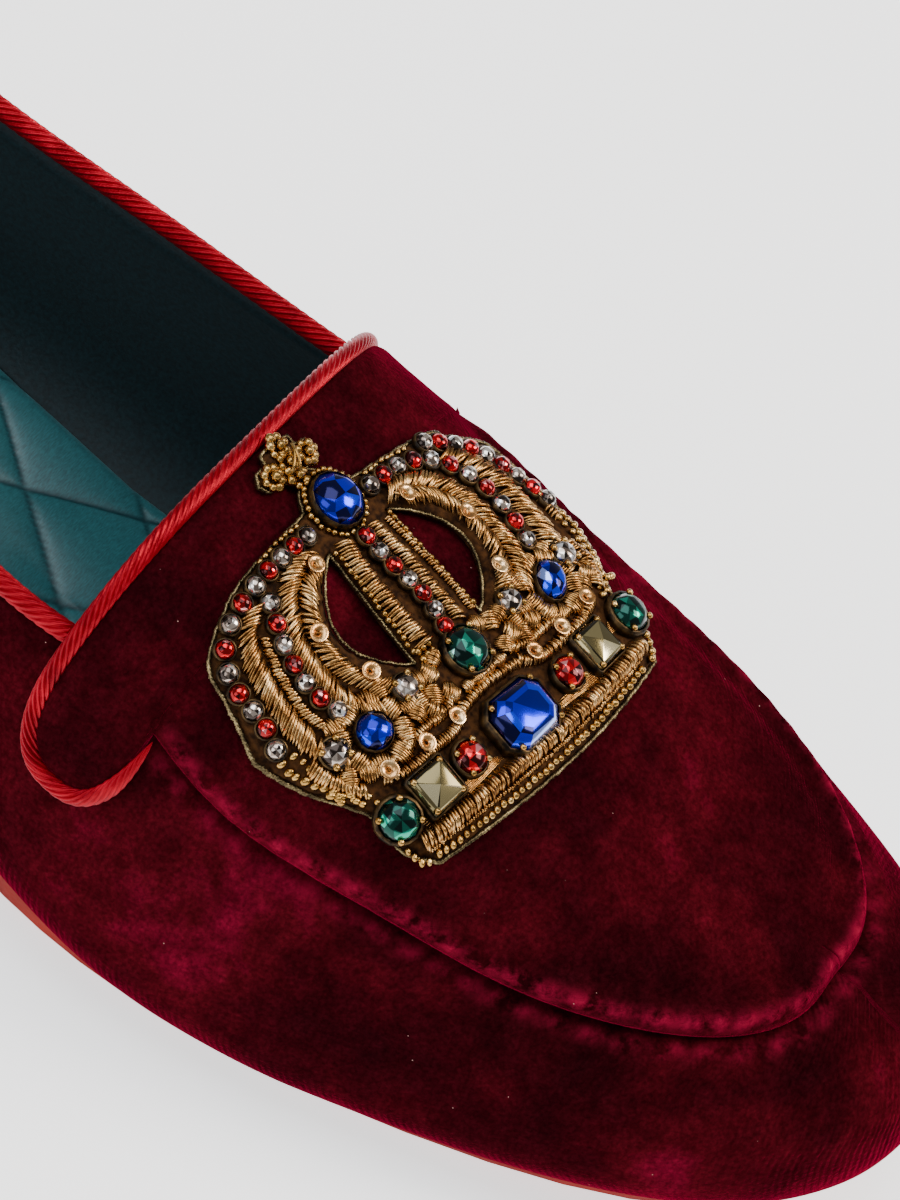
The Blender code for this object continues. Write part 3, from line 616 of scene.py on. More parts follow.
# %% Velvet relief
def velvet_relief(tree, nap, rib_strength):
    """Bump: the ground cloth's ribs across the run, plus nap, plus streaks drawn out along it."""
    uv = add_node(tree, 'ShaderNodeUVMap', {"uv_map": "run"}).outputs["UV"]
    stretch = add_node(tree, 'ShaderNodeMapping', {"Scale": (1.0, 0.06, 1.0)}, {"Vector": uv})
    streaks = add_node(tree, 'ShaderNodeTexNoise',
                       {"Scale": per_metre(STREAK_SIZE), "Detail": 2.0, "Roughness": 0.6},
                       {"Vector": stretch.outputs["Vector"]})
    ribs = add_node(tree, 'ShaderNodeTexWave',
                    {"bands_direction": 'X', "Scale": math.pi / 10 / (RIB_PITCH * 0.001),
                     "Distortion": 1.2, "Detail": 2.0, "Detail Scale": 1.5}, {"Vector": uv})
    height = add_node(tree, 'ShaderNodeMath', {"operation": 'MULTIPLY', 1: rib_strength},
                      {0: ribs.outputs["Fac"]})
    for finer in (nap, streaks):
        height = add_node(tree, 'ShaderNodeMath', {"operation": 'ADD'},
                          {0: height.outputs[0], 1: finer.outputs["Fac"]})
    bump = add_node(tree, 'ShaderNodeBump', {"Strength": 0.55, "Distance": 0.0004},
                    {"Height": height.outputs[0]})
    return bump.outputs["Normal"]


# %% Two velvets
velvet = velvet_material("velvet_burgundy_pile", 0.45)
velvet_plug = velvet_material("velvet_burgundy_pile_apron", 0.12)


# %% [markdown]
# ## Quarters
#
# The quarters wrap the foot from the heel round the toe and back. They are one grid: columns walk
# from the outer heel to the toe and on to the inner heel, rows climb from the sole to the collar or,
# ahead of the throat, to just under the apron. A groove runs beside the apron's seam, where the
# stitching pulls the velvet in, with short puckers across it.

# %% Stations
def walk_stations(heel, side, wing, front, toe):
    """Stations from heel to toe tip: cosine spacing at the heel, even along the side, sine at the toe."""
    heel_part = HEEL_CAP * (1 - np.cos(np.linspace(0, math.pi / 2, heel + 1)))
    toe_part = TOE_CAP + (1 - TOE_CAP) * np.sin(np.linspace(0, math.pi / 2, toe + 1))**(2 / TOE_POWER)
    return np.concatenate([heel_part[:-1], np.linspace(HEEL_CAP, THROAT, side + 1)[:-1],
                           np.linspace(THROAT, WING_END, wing + 1)[:-1],
                           np.linspace(WING_END, TOE_CAP, front + 1)[:-1], toe_part])


def run_length(points, axis):
    """Distance along one direction of a grid, from its first point."""
    steps = np.linalg.norm(np.diff(points, axis=axis), axis=-1)
    start = np.zeros_like(np.take(steps, [0], axis=axis))
    return np.concatenate([start, np.cumsum(steps, axis=axis)], axis=axis)


# %% [markdown]
# ## The seam's tuck
#
# Beside the seam the velvet is drawn into a groove, swells behind it and puckers at each stitch. Each
# of these is a bell curve of the distance from the seam, added along the surface's normal. A painted
# sheen, brighter crimson along the ridge beside the seam, is kept as a number on each vertex, for the
# material.

# %% Quarters
SEAM_TUCK = 0.03
SEAM_FADE = 0.02
PUCKER_PITCH = 5.2
PUCKER_REACH = 3.5
PUCKER_DEPTH = {OUTER: 0.20, INNER: 0.05}
HEM = 6.0
# Bell curves beside the seam: height, distance from the seam and width, in mm
QUARTER_GROOVE = (-1.0, 0.3, 1.2)
QUARTER_SWELL = (0.55, 4.2, 2.6)
# Painted sheen along the ridge beside the seam: the same bell, its height the share of brighter colour.
QUARTER_PAINTED_SHEEN = (0.55, 2.6, 1.3)


def bell(run, height, centre, width):
    """Height times e to the minus square of the distance from the centre over the width."""
    return height * np.exp(-((run - centre) / width)**2)


def quarter_side(side, stations, rows):
    """Half of the quarters: rise goes to the collar, or just past the seam, with groove and puckers."""
    seam = seam_rise(stations, side)
    shoulder, _ = shoulder_rise(stations, side)
    tuck = SEAM_TUCK * (stations - THROAT) / (WING_END - THROAT)
    top = np.where(stations < WING_END, shoulder + tuck, seam + SEAM_TUCK)
    top = np.where(stations < THROAT, collar_rise(stations, np.full(stations.shape, side)), top)
    rise = top[:, None] * rows
    points = shoe_point(stations[:, None], side, rise)
    normal = shoe_normal(stations[:, None], side, rise)
    up_run = run_length(points, 1)
    along_run = run_length(points, 0)
    seam_run = np.stack([np.interp(s, r, u) for s, r, u in zip(np.minimum(seam, top), rise, up_run)])
    below = seam_run[:, None] - up_run
    ahead = np.clip((stations - WING_END + 0.004) / SEAM_FADE, 0, 1)[:, None]
    wander = 2.5 * wave_noise(along_run, up_run, 5, 40.0)
    wave = np.sin(2 * math.pi * along_run / PUCKER_PITCH + wander)
    pucker = PUCKER_DEPTH[side] * wave * np.exp(-np.maximum(below, 0) / PUCKER_REACH)
    soft = 0.16 * wave_noise(points[..., 0] + points[..., 2], points[..., 1], 11, 46.0)
    hem = np.clip(up_run / HEM, 0, 1) * np.clip((top[:, None] - rise) * 12, 0, 1)
    shift = ahead * (bell(below, *QUARTER_GROOVE) + pucker + bell(below, *QUARTER_SWELL)) + soft * hem
    # ridge holds the painted sheen along the seam's ridge, stronger on the pucker crests.
    ridge = ahead * bell(below, *QUARTER_PAINTED_SHEEN) * (1 + 0.5 * wave) / 1.5
    return points + normal * shift[..., None], along_run, up_run, ridge


# %% Quarters as a mesh
stations = walk_stations(30, 120, 26, 50, 90)
rows = np.linspace(0, 1, 64)
outer, outer_run, outer_up, outer_seam_sheen = quarter_side(OUTER, stations, rows)
inner, inner_run, inner_up, inner_seam_sheen = quarter_side(INNER, stations, rows)
loop = np.concatenate([outer, inner[-2:0:-1]])
run = np.concatenate([outer_run, inner_run[-2:0:-1]])
climb = np.concatenate([outer_up, inner_up[-2:0:-1]])
ridge = np.concatenate([outer_seam_sheen, inner_seam_sheen[-2:0:-1]])
faces = grid_faces(len(rows), len(loop), wrap=True)
quarters = fill_mesh("velvet_quarters", loop.transpose(1, 0, 2), faces, velvet,
                     np.stack([run, climb], -1).transpose(1, 0, 2))
# The 'ridge' mark is the painted sheen along the seam, read by the velvet's colour.
mark_points(quarters, "ridge", ridge.T)
thicken(weld(quarters), 1.0)
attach(quarters, "root")
print("quarters:", len(quarters.data.polygons), "faces")


# %% [markdown]
# ## Lining
#
# Inside the collar the shoe is lined with thin dark teal cloth. It is the same last again, one
# millimetre inside the velvet, closed over the toes.

# %% Lining
LINING_IN = 1.05
LINING_THICK = 0.8

# Cotton twill: matt, with a faint glow along its edges.
cloth, tree, shader = new_material("lining_twill_teal", Roughness=0.62, Specular_IOR_Level=0.3,
                                   Sheen_Weight=0.12, Sheen_Roughness=0.5)
place = add_node(tree, 'ShaderNodeTexCoord')
weave = add_node(tree, 'ShaderNodeTexNoise', {"Scale": per_metre(0.6667), "Detail": 2.0},
                 {"Vector": place.outputs["Object"]})
ramp = add_node(tree, 'ShaderNodeValToRGB', {}, {"Fac": weave.outputs["Fac"]})
set_ramp(ramp, ((0.3, "#041518"), (0.7, "#0a262b")))
tree.links.new(ramp.outputs["Color"], shader.inputs["Base Color"])
bump = add_node(tree, 'ShaderNodeBump', {"Strength": 0.3, "Distance": 0.0002},
                {"Height": weave.outputs["Fac"]})
tree.links.new(bump.outputs["Normal"], shader.inputs["Normal"])


def lining_points(station, side, rise):
    """A point of the last moved inwards along its normal."""
    return shoe_point(station, side, rise) - shoe_normal(station, side, rise) * LINING_IN


# %% Lining as a mesh
back_walk = walk_stations(14, 60, 1, 1, 1)
back_walk = back_walk[back_walk <= THROAT + 1e-9]
front_walk = walk_stations(1, 1, 10, 24, 30)
front_walk = front_walk[front_walk >= THROAT - 1e-9]
lower_rows = np.linspace(0, 1, 25)
upper_rows = np.linspace(0, 1, 17)[1:]
sheets = {}
for side in (OUTER, INNER):
    collar = collar_rise(back_walk, np.full(back_walk.shape, side))[:, None]
    behind = lining_points(back_walk[:, None], side, collar * lower_rows)
    level = CORNER[side]
    rise = np.concatenate([level * lower_rows, level + (1 - level) * upper_rows])
    ahead = lining_points(front_walk[:, None], side, np.broadcast_to(rise, (len(front_walk), len(rise))))
    sheets[side] = behind, ahead
behind = np.concatenate([sheets[OUTER][0][::-1], sheets[INNER][0][1:]])
ahead = np.concatenate([sheets[OUTER][1], sheets[INNER][1][:, -2::-1]], 1)
first = grid_faces(behind.shape[0], behind.shape[1], flip=True)
second = grid_faces(ahead.shape[0], ahead.shape[1], start=behind.shape[0] * behind.shape[1])
lining = fill_mesh("lining", np.concatenate([behind.reshape(-1, 3), ahead.reshape(-1, 3)]),
                   np.concatenate([first, second]), cloth)
weld(lining, 0.05)
work = bmesh.new()
work.from_mesh(lining.data)
bmesh.ops.recalc_face_normals(work, faces=work.faces)
work.to_mesh(lining.data)
work.free()
thicken(lining, LINING_THICK)
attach(lining, "root")
print("lining:", len(lining.data.polygons), "faces")


# %% [markdown]
# ## Apron
#
# The apron is the raised plug over the toes, with a wing down each side at the throat. Its edge is
# turned under and pulled tight by the seam, so it has a rounded, puckered lip. The grid's rows run
# from the outer seam over the crest to the inner seam; the lift above the last falls as a quarter
# circle at the lip.

# %% Apron
APRON_LIFT = 1.95
LIP_LIFT = 0.25
LIP = 2.2
APRON_RIDGE = (0.55, 2.2, 1.3)
APRON_HOLLOW = (-0.45, 5.6, 2.0)
# Painted sheen along the apron's lip beside the seam: height, distance and width of its bell.
APRON_PAINTED_SHEEN = (1.0, 1.6, 1.1)
RIDGE_WAVE = {OUTER: 0.7, INNER: 0.15}


def apron_half(side, stations, rows):
    """Half of the apron: rise from the seam to the crest, lifted by a quarter circle over the lip."""
    edge = seam_rise(stations, side)[:, None]
    rise = edge + (1 - edge) * rows
    points = shoe_point(stations[:, None], side, rise)
    normal = shoe_normal(stations[:, None], side, rise)
    normal[:, -1] = shoe_normal(stations, side, np.full(stations.shape, 0.99))
    inside_run = run_length(points, 1)
    to_throat = (stations[:, None] - THROAT) * LENGTH + 0 * rise
    near = np.minimum(inside_run, to_throat)
    lip = np.clip(near / LIP, 0, 1)
    lift = LIP_LIFT + (APRON_LIFT - LIP_LIFT) * np.sqrt(1 - (1 - lip)**2)
    along_run = run_length(points, 0)[:, :1]
    wander = 2.5 * wave_noise(along_run, 0 * along_run, 7, 30.0)
    wave = np.sin(2 * math.pi * along_run / PUCKER_PITCH + wander)
    seam_part = np.clip((stations[:, None] - WING_END) / SEAM_FADE, 0, 1)
    ridge = bell(inside_run, *APRON_RIDGE) * (1 + RIDGE_WAVE[side] * wave)
    soft = 0.20 * wave_noise(points[..., 0], points[..., 1], 21, 38.0) * np.clip(inside_run / 8, 0, 1)
    lift = lift + seam_part * (ridge + bell(inside_run, *APRON_HOLLOW)) + soft
    # Painted sheen along the lip, where the pile catches the light.
    wear_and_sheen = seam_part * bell(inside_run, *APRON_PAINTED_SHEEN) * (0.75 + 0.25 * wave)
    return points + normal * lift[..., None], inside_run, wear_and_sheen


# %% Apron as a mesh
wing = THROAT + (WING_END - THROAT) * (1 - np.cos(np.linspace(0, math.pi, 41))) / 2
ahead_of_wing = walk_stations(1, 1, 1, 70, 90)
ahead_of_wing = ahead_of_wing[ahead_of_wing > WING_END + 1e-9]
stations = np.concatenate([wing, ahead_of_wing])
rows = np.linspace(0, 1, 72)**1.35
outer, outer_in, outer_apron_sheen = apron_half(OUTER, stations, rows)
inner, inner_in, inner_apron_sheen = apron_half(INNER, stations, rows)
middle = (outer[:, -1:] + inner[:, -1:]) / 2
whole = np.concatenate([outer[:, :-1], middle, inner[:, -2::-1]], 1)
full_run = outer_in[:, -1:] + inner_in[:, -1:]
across = np.concatenate([outer_in, full_run - inner_in[:, -2::-1]], 1)
along = run_length(whole, 0)
apron = fill_mesh("apron_velvet", whole, grid_faces(whole.shape[0], whole.shape[1]), velvet_plug,
                  np.stack([along, across], -1))
# The apron's 'ridge' mark is painted sheen too.
mark_points(apron, "ridge", np.concatenate([outer_apron_sheen, inner_apron_sheen[:, -2::-1]], 1))
thicken(weld(apron), 0.8)
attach(apron, "root")
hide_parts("apron")
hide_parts("upper")
print("apron:", len(apron.data.polygons), "faces")


# %% [markdown]
# ## Piping
#
# The collar and the throat are edged with a twisted satin cord. A round tube with a striped picture
# would look flat at its edges, so the strands are modelled: the radius rises and falls around the
# section, and the section turns as it goes along.

# %% Twisted cord
def frames_along(path):
    """Tangent, side and up for each point: the side keeps away from the tangent by turning least."""
    tangent = np.gradient(path, axis=0)
    tangent /= np.linalg.norm(tangent, axis=1, keepdims=True)
    sides = np.empty_like(path)
    side = np.cross(tangent[0], (0.0, 0.0, 1.0))
    for i, direction in enumerate(tangent):
        side = side - direction * np.dot(side, direction)
        side /= np.linalg.norm(side)
        sides[i] = side
    return tangent, sides, np.cross(sides, tangent)


def resample(path, count):
    """Evenly spaced points along a path."""
    run = np.concatenate([[0], np.cumsum(np.linalg.norm(np.diff(path, axis=0), axis=1))])
    at = np.linspace(0, run[-1], count)
    return np.stack([np.interp(at, run, path[:, k]) for k in range(path.shape[1])], -1), at


# %% Rope
def rope_grid(path, run, radius, strands, lead, depth, around):
    """Tube points: radius x (1 - depth + depth |cos|) round a section that turns once each lead."""
    _, side, up = frames_along(path)
    turn = np.linspace(0, 2 * math.pi, around, endpoint=False)
    ridge = np.abs(np.cos(strands * turn / 2))**0.7
    spin = 2 * math.pi * run[:, None] / lead
    radius = np.broadcast_to(radius, run.shape)[:, None] * (1 - depth + depth * ridge)
    return (path[:, None] + (radius * np.cos(turn + spin))[..., None] * side[:, None]
            + (radius * np.sin(turn + spin))[..., None] * up[:, None]), turn


STRAND_DEPTH = 0.30
STRAND_SIDES = 6
ROPE_STEP = 0.45


def rope(name, path, material, radius, strands, lead, taper=1.6):
    """Twisted cord along a path, drawn in to a point over the last taper mm by a power of 0.7."""
    length = np.linalg.norm(np.diff(path, axis=0), axis=1).sum()
    path, run = resample(path, int(length / ROPE_STEP))
    size = np.full(run.shape, float(radius))
    size *= np.clip(np.minimum(run, run[-1] - run) / taper + 0.01, 0.01, 1)**0.7
    around = strands * STRAND_SIDES
    points, turn = rope_grid(path, run, size, strands, lead, STRAND_DEPTH, around)
    uv = np.stack(np.broadcast_arrays(run[:, None], turn * radius), -1)
    item = fill_mesh(name, points, grid_faces(len(run), around, wrap=True, flip=True), material, uv)
    return weld(item, 0.03)


# %% Piping satin
# Silk cord: its parallel threads reflect the lamps in the dye's own colour, as a dyed metal would.
satin, tree, shader = new_material("piping_satin_red", Roughness=0.34, Specular_IOR_Level=0.15,
                                   Metallic=0.55, Sheen_Weight=0.04, Sheen_Roughness=0.3,
                                   Sheen_Tint=linear("#ff8f8a"))
place = add_node(tree, 'ShaderNodeTexCoord')
dye = add_node(tree, 'ShaderNodeTexNoise', {"Scale": per_metre(3.846), "Detail": 3.0},
               {"Vector": place.outputs["Object"]})
ramp = add_node(tree, 'ShaderNodeValToRGB', {}, {"Fac": dye.outputs["Fac"]})
set_ramp(ramp, ((0.3, "#7c0012"), (0.55, "#98041a"), (0.75, "#b40c26")))
tree.links.new(ramp.outputs["Color"], shader.inputs["Base Color"])
thread = add_node(tree, 'ShaderNodeTexNoise', {"Scale": per_metre(0.3846), "Detail": 1.0},
                  {"Vector": place.outputs["Object"]})
bump = add_node(tree, 'ShaderNodeBump', {"Strength": 0.3, "Distance": 0.0002},
                {"Height": thread.outputs["Fac"]})
tree.links.new(bump.outputs["Normal"], shader.inputs["Normal"])

# %% [markdown]
# ## Collar piping
#
# The cord stands on the rim of the upper. Its path is the collar line, moved inwards by half the wall
# and up by most of the cord's radius.

# %% Collar piping
CORD_STRANDS = 9
CORD_LEAD = 15.0
THROAT_CORD = 1.3
WING_TAPER = 9.0
CORD_SUNK = 0.9
clear = 0.6 / LENGTH
walk = walk_stations(30, 160, 1, 1, 1)
walk = walk[walk < THROAT - clear][::-1]
half = {}
for side in (INNER, OUTER):
    rise = collar_rise(walk, np.full(walk.shape, side))
    rim = shoe_point(walk, side, rise)
    lifted = np.array([0, 0, CORD_RADIUS + 2 * GAP - CORD_SUNK])
    half[side] = rim - shoe_normal(walk, side, rise) * WALL / 2 + lifted
collar_path = np.concatenate([half[OUTER], half[INNER][-2::-1]])
collar = rope("collar_piping", collar_path, satin, CORD_RADIUS, CORD_STRANDS, CORD_LEAD)
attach(collar, "root")
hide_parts("collar_cord")

# %% [markdown]
# ## Throat piping
#
# The same cord follows the apron's free edge: up one wing, across the throat and down the other. It
# thins out where it dives under the seam.

# %% Throat piping
def binding_half(side):
    """Apron's bound edge: from the seam round the wing, then up the throat to the crest."""
    around = THROAT + (WING_END - THROAT) * (1 - np.cos(np.linspace(0, math.pi, 81))) / 2
    around = around[::-1]
    climb = np.linspace(CORNER[side], 1, 40)[1:]
    station = np.concatenate([around, np.full(climb.shape, THROAT)])
    rise = np.concatenate([seam_rise(around, side), climb])
    return station, np.full(station.shape, float(side)), rise


halves = zip(binding_half(OUTER), binding_half(INNER))
station, side, rise = (np.concatenate([a, b[-2::-1]]) for a, b in halves)
bound = shoe_point(station, side, rise)
normal = shoe_normal(station, side, rise)
outwards = np.cross(normal, np.gradient(bound, axis=0))
outwards /= np.linalg.norm(outwards, axis=1, keepdims=True)
sunk = np.where((side > 0) & (station > THROAT + 0.003), CORD_SUNK, 0.0)[:, None]
throat_path = bound + outwards * (CORD_RADIUS - 0.6) + normal * (CORD_RADIUS + 0.2 - sunk)
throat = rope("throat_piping", throat_path[1:-1], satin, THROAT_CORD, CORD_STRANDS, CORD_LEAD,
              taper=WING_TAPER)
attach(throat, "root")
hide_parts("throat_cord")
print("piping:", len(collar.data.polygons), len(throat.data.polygons), "faces")


# %% [markdown]
# ## Quilted insole
#
# The insole is a thin pad covered with teal satin and quilted in diamonds. The stitch lines pull it
# down and the wadding swells between them. Its height over the plan is that pattern: the product of
# two sines along the diagonals, raised to a low power so that the swell is broad and the seam
# narrow. A cloth simulation would not hold such narrow seams, so the swell is worked out directly.

# %% Insole
INSOLE_TOP_ROOM = 5.2
INSOLE_THICK = 5.0
DIAMOND = 18.5
QUILT_SWELL = 1.5
QUILT_SEAM = 0.7
EDGE_ROUND = 4.0

# %% Insole satin
# Satin: long floating threads give it a broad soft gloss that is longer across the weft.
teal, tree, shader = new_material("insole_satin_teal", Roughness=0.42, Specular_IOR_Level=0.5,
                                  Sheen_Weight=0.35, Sheen_Roughness=0.35,
                                  Sheen_Tint=linear("#8fd0d6"), Anisotropic=0.5)
place = add_node(tree, 'ShaderNodeTexCoord')
thread_run, thread_pitch = per_metre(0.909), per_metre(0.1923)
mapping = add_node(tree, 'ShaderNodeMapping', {"Scale": (thread_run, thread_pitch, thread_run)},
                   {"Vector": place.outputs["Object"]})
weft = add_node(tree, 'ShaderNodeTexNoise', {"Scale": 1.0, "Detail": 4.0},
                {"Vector": mapping.outputs["Vector"]})
ramp = add_node(tree, 'ShaderNodeValToRGB', {}, {"Fac": weft.outputs["Fac"]})
set_ramp(ramp, ((0.30, "#1e494c"), (0.55, "#265a5e"), (0.80, "#2f6c70")))
seams = add_node(tree, 'ShaderNodeAttribute', {"attribute_name": "seam"})
colour = add_node(tree, 'ShaderNodeMix', {"data_type": 'RGBA'},
                  {"Factor": seams.outputs["Fac"], "A": ramp.outputs["Color"]})
colour.inputs[SECOND_COLOUR].default_value = linear("#0c2a2f")
tree.links.new(colour.outputs[MIXED_COLOUR], shader.inputs["Base Color"])
bump = add_node(tree, 'ShaderNodeBump', {"Strength": 0.12, "Distance": 0.0002},
                {"Height": weft.outputs["Fac"]})
tree.links.new(bump.outputs["Normal"], shader.inputs["Normal"])

# %% Quilting
def quilt(x, y):
    """Distance to the nearest diagonal seam on either family, in mm, and the swell it gives."""
    one = (x * 0.80 + y * 0.60) / DIAMOND
    two = (x * 0.80 - y * 0.60) / DIAMOND
    near = np.minimum(np.abs(one - np.round(one)), np.abs(two - np.round(two))) * DIAMOND
    swell = (np.abs(np.sin(math.pi * one)) * np.abs(np.sin(math.pi * two)))**0.42
    return near, swell


# %% [markdown]
# ## The pad
#
# Its plan lies between both walls, less some room. Its top is rounded off at the rim, and the dark
# line of the stitches is kept as a number on each vertex.

# %% Plan and height of the pad
def wall_share(stations, side, height, room):
    """Plan share of the upper's wall at a height above its lower edge, less some room in mm."""
    lift = (height / section("bulge", stations) - 1) * np.sin(undercut(stations))
    reach = np.cos(np.arcsin(lift))**SIDE_POWER
    wide_x, wide_y = widest_point(stations, side)
    crest_x, crest_y = crest_point(crest_share(stations))
    return reach - room / np.hypot(wide_x - crest_x, wide_y - crest_y)


def insole_points(stations, across):
    """Top of the pad: plan between both rims, height rounded off at the rim and swelled by the quilt."""
    crest_x, crest_y = crest_point(crest_share(stations))
    rim = {}
    for side in (INNER, OUTER):
        wide_x, wide_y = widest_point(stations, side)
        share = wall_share(stations, side, INSOLE_THICK, INSOLE_TOP_ROOM)
        rim[side] = crest_x + (wide_x - crest_x) * share, crest_y + (wide_y - crest_y) * share
    share = (across + 1) / 2
    x = rim[OUTER][0][:, None] * (1 - share) + rim[INNER][0][:, None] * share
    y = rim[OUTER][1][:, None] * (1 - share) + rim[INNER][1][:, None] * share
    near, swell = quilt(x, y)
    width = np.abs(rim[INNER][0] - rim[OUTER][0])[:, None]
    edge = np.clip((1 - np.abs(across)) * width / 2 / EDGE_ROUND, 0, 1)
    foot = feather_height(stations)[:, None]
    rounded = (INSOLE_THICK - 0.5) * np.sqrt(1 - (1 - edge)**2)
    height = foot + 0.5 + rounded + QUILT_SWELL * (swell - 0.55) * edge
    seam = np.exp(-(near / (QUILT_SEAM * 0.6))**2) * edge
    return np.stack([x, y, height], -1), seam, foot + 0 * x


# %% Insole as a mesh
stations = walk_stations(40, 220, 24, 70, 50)
across = np.sin(np.linspace(-math.pi / 2, math.pi / 2, 121))
top, seam, foot = insole_points(stations, across)
under = top.copy()
under[..., 2] = foot
count = top.shape[0] * top.shape[1]
faces = np.concatenate([grid_faces(*top.shape[:2]), grid_faces(*top.shape[:2], flip=True, start=count)])
insole = fill_mesh("quilted_insole", np.concatenate([top.reshape(-1, 3), under.reshape(-1, 3)]), faces, teal)
mark_points(insole, "seam", np.concatenate([seam.ravel(), np.zeros(count)]))
work = bmesh.new()
work.from_mesh(insole.data)
bmesh.ops.remove_doubles(work, verts=work.verts, dist=2e-5)
bmesh.ops.dissolve_degenerate(work, dist=1e-7, edges=work.edges)
open_edges = [e for e in work.edges if e.is_boundary]
bmesh.ops.bridge_loops(work, edges=open_edges)
bmesh.ops.recalc_face_normals(work, faces=work.faces)
work.to_mesh(insole.data)
work.free()
insole.data.shade_smooth()
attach(insole, "root")
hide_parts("insole")
print("insole:", len(insole.data.polygons), "faces")

# %% [markdown]
# ## Sole and heel
#
# The thin leather sole has a painted edge, the heel is a stack of leather and its top lift is
# rubber. Their solids already have the right shape, so they stay and only get finishes.

# %% Sole, heel and lift finishes
def leather_finish(name, stops, roughness, grain_mm, coat):
    """Smooth leather: colour from a low noise, fine grain as bump, a thin coat."""
    material, tree, shader = new_material(name, Roughness=roughness, Specular_IOR_Level=0.2,
                                          Coat_Weight=coat, Coat_Roughness=0.3)
    place = add_node(tree, 'ShaderNodeTexCoord')
    cloud = add_node(tree, 'ShaderNodeTexNoise', {"Scale": per_metre(16.67), "Detail": 4.0},
                     {"Vector": place.outputs["Object"]})
    ramp = add_node(tree, 'ShaderNodeValToRGB', {}, {"Fac": cloud.outputs["Fac"]})
    set_ramp(ramp, stops)
    tree.links.new(ramp.outputs["Color"], shader.inputs["Base Color"])
    grain = add_node(tree, 'ShaderNodeTexVoronoi', {"Scale": per_metre(grain_mm)},
                     {"Vector": place.outputs["Object"]})
    bump = add_node(tree, 'ShaderNodeBump', {"Strength": 0.25, "Distance": 0.0002},
                    {"Height": grain.outputs["Distance"]})
    tree.links.new(bump.outputs["Normal"], shader.inputs["Normal"])
    return material


# Painted leather is matt, the waxed heel has a thin shine, and rubber has neither shine nor colour.
FINISHES = {
    "outsole": ("sole_leather_painted_edge", ((0.35, "#7a1004"), (0.65, "#981c08")), 0.6, 0.9, 0.0),
    "heel_stack": ("heel_stack_leather", ((0.35, "#2a1210"), (0.65, "#3a1a15")), 0.4, 0.8, 0.3),
    "top_lift": ("lift_rubber", ((0.35, "#191717"), (0.65, "#242121")), 0.7, 1.2, 0.0),
}
for node, finish in FINISHES.items():
    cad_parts[node].data.materials[0] = leather_finish(*finish)
print("finished:", ", ".join(FINISHES))

# %% [markdown]
# ## The crown, flat first
#
# The crown is a stiff embroidered patch with cut stones sewn on. It is drawn flat: u runs across it,
# v from its base towards the throat and w above the last. One function lays everything on the
# apron, so a bead, a wire or a stone only needs its place in the flat drawing. The apron's height is
# worked out once on a millimetre grid and read in between, which is quick for a million points.

# %% Draping
CROWN_X = -7.5
CROWN_Y = -66.5
CROWN_TURN = math.radians(-5.4)
CROWN_DRAW_INNER = 1.1
CROWN_DRAW_OUTER = 5.0
CROWN_DRAW_HALF = 27.0
CROWN_DRAW_TOP = 20.0
CROWN_DRAW_FADE = 17.0


def last_from_plan(x, y):
    """Station, side and rise above a plan point: halve along the ribs, then read the reach."""
    share = np.minimum(0.5 - y / LENGTH, CREST_TOE)
    side = np.where(x >= crest_point(share)[0], 1.0, -1.0)
    low = 0.5 - y / LENGTH - 0.002
    high = np.ones_like(low)

    def rib(station):
        """Rib from the crest to the widest point, and the way from the crest to the plan point."""
        wide_x, wide_y = widest_point(station, side)
        crest_x, crest_y = crest_point(crest_share(station))
        return wide_x - crest_x, wide_y - crest_y, x - crest_x, y - crest_y

    def turn_of(station):
        """Cross product of both, which changes sign at the station sought."""
        rib_x, rib_y, to_x, to_y = rib(station)
        return rib_x * to_y - rib_y * to_x

    first = np.sign(turn_of(low))
    for _ in range(34):
        middle = (low + high) / 2
        same = np.sign(turn_of(middle)) == first
        low = np.where(same, middle, low)
        high = np.where(same, high, middle)
    station = (low + high) / 2
    rib_x, rib_y, to_x, to_y = rib(station)
    reach = np.clip((rib_x * to_x + rib_y * to_y) / (rib_x**2 + rib_y**2), 1e-9, 1)
    rise = (np.arccos(reach**(1 / SIDE_POWER)) + undercut(station)) / (math.pi / 2 + undercut(station))
    return station, side, rise


def height_at(x, y):
    """Height of the last above a plan point."""
    return shoe_point(*last_from_plan(x, y))[..., 2]


# %% Lay a plan point on the last
def drape(across, along):
    """Point of the last and its normal: draw the base in on the steep side, place in plan, read slopes."""
    drawn = np.where(across > 0, CROWN_DRAW_INNER, CROWN_DRAW_OUTER) * (across / CROWN_DRAW_HALF)**2
    across = across + drawn * np.clip((CROWN_DRAW_TOP - along) / CROWN_DRAW_FADE, 0, 1)
    x = CROWN_X + across * math.cos(CROWN_TURN) - along * math.sin(CROWN_TURN)
    y = CROWN_Y + across * math.sin(CROWN_TURN) + along * math.cos(CROWN_TURN)
    step = 0.8
    slope_x = (height_at(x + step, y) - height_at(x - step, y)) / (2 * step)
    slope_y = (height_at(x, y + step) - height_at(x, y - step)) / (2 * step)
    normal = np.stack([-slope_x, -slope_y, np.ones_like(x)], -1)
    normal /= np.linalg.norm(normal, axis=-1, keepdims=True)
    return np.stack([x, y, height_at(x, y)], -1), normal


# %% Crown grid
grid_u = np.arange(-38.0, 39.0)
grid_v = np.arange(-13.0, 54.0)
crown_base, crown_normal = drape(*np.meshgrid(grid_u, grid_v, indexing="ij"))


